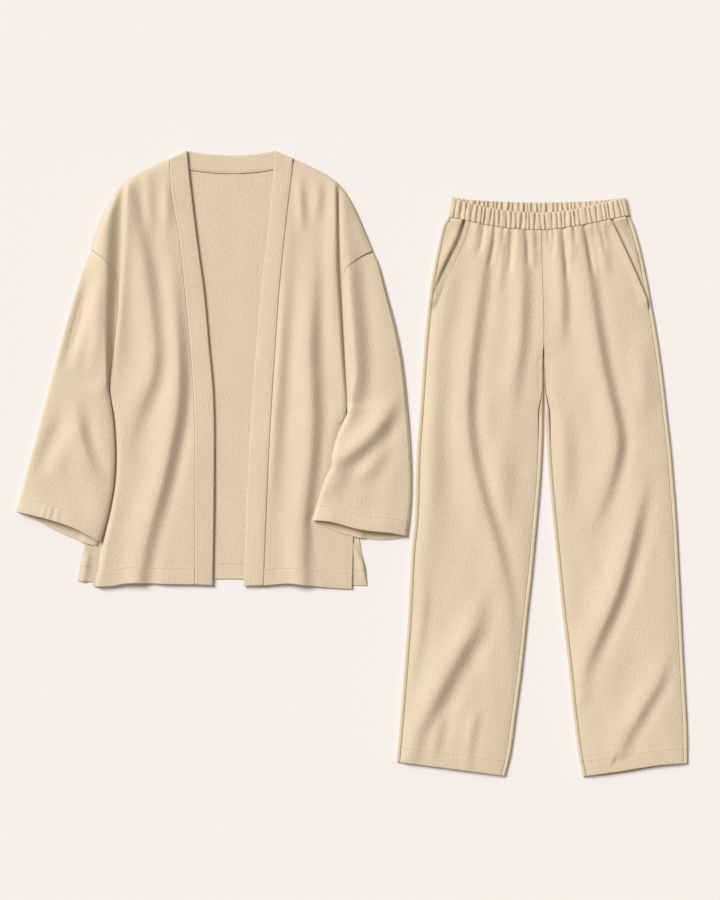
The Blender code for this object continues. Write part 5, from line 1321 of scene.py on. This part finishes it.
@dataclass
class Trousers(Garment):
    """Trousers: two fronts, two backs, a gathered waistband and the pieces beside the pocket mouths."""

    fold_gain: float = 1.85
    wrinkle: float = 0.68
    leg_steps: int = 300
    pocket_steps: int = 44
    crotch_steps: int = 72
    across_steps: int = 64
    edge_lines: int = 9
    gathers: int = 72
    gather_columns: int = 10
    gather_depth: float = 4.1

    def waist_height(self, xy: Array) -> Array:
        """Top of the waistband's front across the waist."""
        share = np.clip((xy[..., 0] - WAIST_SEAM[0][0]) / (WAIST_SEAM[-1][0] - WAIST_SEAM[0][0]), 0, 1)
        return WAIST_HEIGHT / 2 * (1 + np.clip(1 - np.abs(2 * share - 1) ** 12, 0, 1) ** 0.5)

    def up_to_waist(self, xy: Array, height: Array) -> Array:
        """What a height gains where it comes up to the waistband."""
        waist = away(xy, WAIST_SEAM)
        return (np.maximum(self.waist_height(xy), height) - height) * bell(waist, 16)

    def leg_height(self, xy: Array, side: Side) -> Array:
        """Top of a front leg."""
        far = np.minimum(away(xy, LEG_OUTER[side], 40), away(xy, LEG_INNER[side], 40)) - SEAM_INSET
        low = away(xy, LEG_HEM[side], 20)
        table = FoldTable(LEG_FOLDS[side], self.fold_gain)
        full = 3.2 + table.height(xy) + self.wrinkle * ripple(xy, 2.2 + side.value, -0.12 * side.value)
        full = np.maximum(full, 0.4) * rise(far, 14) * (0.55 + 0.45 * rise(low, 22))
        lift = TROUSER_SEAM + full
        lift = lift + self.up_to_waist(xy, lift)
        x, waist = xy[..., 0], away(xy, WAIST_SEAM)
        pucker = 0.7 * np.cos(x * 2 * np.pi / 8.4 + 0.8 * np.sin(x / 17.0)) * np.exp(-waist / 8.0)
        return lift + (pucker + FoldTable(TUCKS[side]).height(xy)) * smooth(far, -2, 6)

    def curl(self, turned: float) -> tuple[Array, Array]:
        """Stations round a leg's edge, seam first, as distance inside the outline and height."""
        turned = max(turned, 0.02)
        radius = TROUSER_SEAM / 2 / turned
        angle = np.pi * turned * np.linspace(1, 0, self.edge_lines)
        out, up = radius * np.sin(angle), radius * (1 - np.cos(angle))
        tail = (SEAM_INSET - TROUSER_SEAM / 2) * smooth(turned, 0.6, 1)
        out[0] += tail * np.cos(angle[0])
        up[0] += tail * np.sin(angle[0])
        return out.max() - out, up

    def leg_edge(self, side: Side, outside: bool) -> list[Array]:
        """Lines round a leg's outer or inner edge, from its seam to the floor."""
        s, steps, crotch = side.value, self.leg_steps, self.crotch_steps
        if outside:
            rows = LEG_OUTER[side]
            outline = joined((rows[:6], self.pocket_steps), (rows[5:], steps - self.pocket_steps))
            turned, inward = np.ones(steps + 1), -s
        else:
            outline = shifted(joined((CENTRE, crotch), (LEG_INNER[side], steps - crotch)), s * SEAM)
            turned, inward = smooth(np.arange(steps + 1), crotch - 12, crotch + 34), s
        inside = shifted(outline, inward) - outline
        shape = np.array([self.curl(float(t)) for t in turned])
        return [np.column_stack([outline + inside * shape[:, 0, k, None], shape[:, 1, k]])
                for k in range(self.edge_lines)]

    def front(self, side: Side) -> None:
        """A front leg, cut away along the slanted pocket mouth."""
        s, cols, crotch, hem = side.value, self.across_steps, self.crotch_steps, LEG_HEM[side]
        outer, inner = (self.leg_edge(side, outside)[0][:, :2] for outside in (True, False))
        free = shifted(outer, -s * SEAM)
        free[:self.pocket_steps] = line(POCKET[side], self.pocket_steps + 1)[:-1]
        station = np.arange(self.leg_steps + 1)
        gap = 1.6 * smooth(station, crotch - 12, crotch) * (1 - smooth(station, crotch + 25, crotch + 50))
        stand_off = SEAM + gap
        middle = inner + (shifted(inner, s) - inner) * stand_off[:, None]
        left, right = (free, middle) if side is Side.LEFT else (middle, free)
        top_x, bottom_x = (np.linspace(left[k, 0], right[k, 0], cols + 1) for k in (0, -1))
        top = np.column_stack([top_x, on_line(WAIST_SEAM, top_x) - 2 * SEAM])
        bottom = np.column_stack([bottom_x, on_line(hem, bottom_x)])
        left[0], right[0], left[-1], right[-1] = top[0], top[-1], bottom[0], bottom[-1]
        grid = resampled(patch(left, right, top, bottom), graded(self.leg_steps), graded(cols))
        pocket = away(grid, POCKET[side], 30)
        inside = TROUSER_HEM - away(grid, hem)
        height = np.maximum(self.leg_height(grid, side), 10.2 * bell(pocket, 24))
        height = height + hem_step(inside) + 0.8 * smooth(pocket, 8.6, 6.2)
        panel = Panel(f"trousers_front_{side.word}", place(grid, height), -1, hem=inside)
        stitch = line(hem, 80) + (0, TROUSER_HEM)
        mouth = [shifted(line(POCKET[side], 60), -s * distance)[1:-3] for distance in POCKET_STITCHES]
        self.add(panel, (0.30, 0.97), Hold.LAID, [f"trousers_back_{side.word}_cloth"], [stitch[2:-2], *mouth])

    def back(self, side: Side) -> None:
        """A back leg, flat below and turned up round both edges to the seams."""
        hem, edge = BACK_LEG_HEM[side], self.edge_lines
        outer, inner = self.leg_edge(side, True), self.leg_edge(side, False)
        left, right = (outer, inner) if side is Side.LEFT else (inner, outer)
        shares = np.linspace(0, 1, 16)[1:-1]
        grid = np.concatenate([np.stack(left, axis=1), between(left[-1], right[-1], shares),
                               np.stack(right[::-1], axis=1)], axis=1)
        low, x = grid[0, :, 2] < TROUSER_SEAM / 2, grid[0, :, 0]
        grid[0, :, 1] = np.where(low, on_line(WAIST_BACK_SEAM, x), on_line(WAIST_SEAM, x)) - 0.6
        grid[-1, :, 1] = on_line(hem, grid[-1, :, 0])
        flat = grid[:, edge:-edge]
        flat[..., 2] = 1.3 * np.maximum(ripple(flat, 6.3 + side.value), 0) * np.sin(np.pi * shares)
        grid = resampled(grid, graded(self.leg_steps), None)
        turned = np.ones(grid.shape[:2], bool)
        turned[:, edge:-edge] = False
        panel = Panel(f"trousers_back_{side.word}", grid, 1, turned=turned,
                      hem=TROUSER_HEM - away(grid[..., :2], hem))
        self.add(panel, (0.36, 1.00), Hold.LAID, ["floor"], [])

    def waist_ring(self) -> tuple[Array, Array]:
        """The waistband's section from the side: x from -1 to 1, and height, at evenly spaced stations."""
        half = WAIST_HEIGHT / 2
        turn = np.linspace(0, 2 * np.pi, 3201)
        x = -np.sign(np.cos(turn)) * np.abs(np.cos(turn)) ** 0.35
        z = half + half * np.sign(np.sin(turn)) * np.abs(np.sin(turn)) ** 0.9
        path = np.column_stack([x * WAIST_WIDTH / 2, z])
        along = np.r_[0, np.cumsum(np.hypot(*np.diff(path, axis=0).T))]
        at = np.linspace(0, along[-1], self.gathers * self.gather_columns + 1)
        return np.interp(at, along, x), np.interp(at, along, z)

    def waistband(self) -> None:
        """The gathered waistband, a closed ring with its elastic's rows of puckers."""
        x, z = self.waist_ring()
        spot = (x + 1) / 2 * 400

        def pick(rows: Rows) -> Array:
            """The line's points at the ring's stations."""
            points = line(rows, 401)
            return np.column_stack([np.interp(spot, np.arange(401), points[:, k]) for k in (0, 1)])

        blend = smooth(z, WAIST_HEIGHT / 2 - 3, WAIST_HEIGHT / 2 + 3)[:, None]
        upper = pick(WAIST_TOP) * blend + pick(WAIST_BACK_TOP) * (1 - blend)
        lower = pick(WAIST_SEAM) * blend + pick(WAIST_BACK_SEAM) * (1 - blend)
        path = np.column_stack([x * WAIST_WIDTH / 2, z])
        way = np.gradient(np.vstack([path[-2], path, path[1]]), axis=0)[1:-1]
        way /= np.hypot(way[:, 0], way[:, 1])[:, None]
        inward = np.column_stack([way[:, 1], -way[:, 0]])
        count = np.arange(len(x))
        station = count * 2 * np.pi / self.gather_columns
        slow = count * 2 * np.pi / (len(x) - 1)
        fade = smooth((1 - np.abs(x)) * WAIST_WIDTH / 2, 3, 9)
        rows = []
        for share in np.linspace(0, 1, 15):
            drift = (1.3 * np.sin(9 * slow + 0.7 * share) + 0.9 * np.sin(23 * slow - 0.9 * share)
                     + 0.6 * np.sin(41 * slow + 1.2 * share))
            sharp = (0.5 - 0.5 * np.cos(station + drift)) ** 2.6
            uneven = 0.78 + 0.22 * np.sin(29 * slow + 3.4 * share) + 0.18 * np.sin(47 * slow - 4.4 * share)
            depth = self.gather_depth * uneven * (0.8 + 0.25 * np.sin(np.pi * share)) * fade
            plan = upper * (1 - share) + lower * share
            ends = 0.5 * fade * (np.exp(-share / 0.05) + np.exp(-(1 - share) / 0.05))
            deep = sharp * depth + ends
            ring = plan[:, 0] + inward[:, 0] * deep, plan[:, 1], z + inward[:, 1] * deep
            rows.append(np.column_stack(ring))
        outer = np.stack(rows)
        outer[:, -1] = outer[:, 0]
        turned = np.ones(outer.shape[:2], bool)
        panel = Panel("trousers_waistband", outer, -1, WAISTBAND_WALL, turned, closed=True)
        self.add(panel, (0.66, 0.036), Hold.GATHERED, ["floor"], [])

    def pocket_facing(self, side: Side, cloth: bpy.types.Material) -> None:
        """The side piece that shows beside the slanted pocket mouth."""
        s, count = side.value, self.pocket_steps + 1
        seam = shifted(self.leg_edge(side, True)[0][:, :2], -s * SEAM)[:count]
        mouth = shifted(line(POCKET[side], count), -s * 9.0)
        mouth[-1] = seam[-1] + (-s * 3.0, 0)
        grid = between(seam, mouth, np.linspace(0, 1, 15))
        grid[0, :, 1] = on_line(WAIST_SEAM, grid[0, :, 0]) - 2 * SEAM
        grid = grid if side is Side.LEFT else grid[:, ::-1]
        off = s * beside(grid, line(POCKET[side], 30))[0]
        room = np.clip(np.abs(seam[:, :1] - mouth[:, :1]) - 9, 0, 30)
        height = TROUSER_SEAM + 3.2 * smooth(room, 5, 16) * bell(off - np.minimum(10, 0.6 * room), 7)
        height += self.up_to_waist(grid, height)
        height += 0.6 * np.cos(grid[..., 0] * 2 * np.pi / 9.0) * np.exp(-away(grid, WAIST_SEAM) / 8.0)
        height = height - (height - 2.6) * smooth(off, 7.0, 0.0) * smooth(room, 0, 7)
        panel = Panel(f"pocket_facing_{side.word}", place(grid, height), -1)
        rests_on = [f"trousers_back_{side.word}_cloth"]
        # its cloth is the darker copy of the sand cloth from main(), painted shade
        self.add(panel, (0.05, 0.16), Hold.LAID, rests_on, [], cloth, "pocket_cloth")


@dataclass(frozen=True)
class Studio:
    """A pale floor, soft light from the upper left and a camera straight above."""

    centre: Pair = (0.01408, 0.02312)
    frame_height: float = 1.548
    lens: float = 85.0
    sensor: float = 36.0
    floor_half: float = 8.0
    floor_drop: float = 0.0003
    key_energy: float = 3.55
    key_angle: float = 0.5
    key_colour: Triple = (1.0, 0.985, 0.96)
    key_way: Triple = (0.575, -0.475, -0.669)
    sky_colour: Triple = (1.0, 0.945, 0.83)
    sky_strength: float = 0.33

    def build(self) -> None:
        """Makes the floor, the lights, the world and the camera."""
        self.floor()
        self.light()
        self.camera()

    def floor(self) -> None:
        """The floor, a hair below the cloth."""
        half = self.floor_half
        data = bpy.data.meshes.new("floor")
        corners = [(-half, -half, 0), (half, -half, 0), (half, half, 0), (-half, half, 0)]
        data.from_pydata(corners, [], [(0, 1, 2, 3)])
        data.materials.append(FloorFinish().material())
        floor = bpy.data.objects.new("floor", data)
        floor.location = (0, 0, -self.floor_drop)
        bpy.context.scene.collection.objects.link(floor)

    def camera(self) -> None:
        """The camera, which looks straight down."""
        camera = bpy.data.cameras.new("camera")
        camera.lens = self.lens
        camera.sensor_width = self.sensor
        camera.clip_end = 50.0
        eye = bpy.data.objects.new("camera", camera)
        eye.location = (*self.centre, self.frame_height / 2 / (self.sensor / 2 / self.lens))
        bpy.context.scene.collection.objects.link(eye)
        bpy.context.scene.camera = eye

    def light(self) -> None:
        """One soft key from the upper left over an even pale sky."""
        key = bpy.data.lights.new("key", "SUN")
        key.energy = self.key_energy
        key.angle = self.key_angle
        key.color = self.key_colour
        lamp = bpy.data.objects.new("key", key)
        lamp.rotation_mode = "QUATERNION"
        lamp.rotation_quaternion = Vector(self.key_way).to_track_quat("-Z", "Y")
        bpy.context.scene.collection.objects.link(lamp)
        world = bpy.data.worlds.new("sky")
        bpy.context.scene.world = world
        world.use_nodes = True
        sky = world.node_tree.nodes["Background"]
        sky.inputs["Color"].default_value = self.sky_colour + (1.0,)
        sky.inputs["Strength"].default_value = self.sky_strength
        bpy.context.scene.view_settings.view_transform = "Standard"


def main() -> None:
    """Builds the jacket, the trousers and the studio."""
    logging.basicConfig(level=logging.INFO, format="%(name)s: %(message)s")
    sand = ClothFinish("sand_cloth", (0.715, 0.585, 0.442)).material()
    # the pocket facings get a slightly darker, warmer copy of the sand cloth as painted shade beside the
    # pocket mouths
    shaded_sand = ClothFinish("pocket_cloth", (0.705, 0.572, 0.43)).material()
    thread = ThreadFinish("sand_thread", (0.76, 0.63, 0.47)).material()
    jacket = Jacket(JACKET_AT, sand, thread, "jacket_cloth")
    jacket.back()
    for side in Side:
        jacket.front(side)
        jacket.sleeve(side)
    jacket.band()
    trousers = Trousers(TROUSERS_AT, sand, thread, "trouser_cloth")
    for side in Side:
        trousers.back(side)
        trousers.front(side)
        trousers.pocket_facing(side, shaded_sand)
    trousers.waistband()
    Studio().build()


if __name__ == "__main__":
    main()
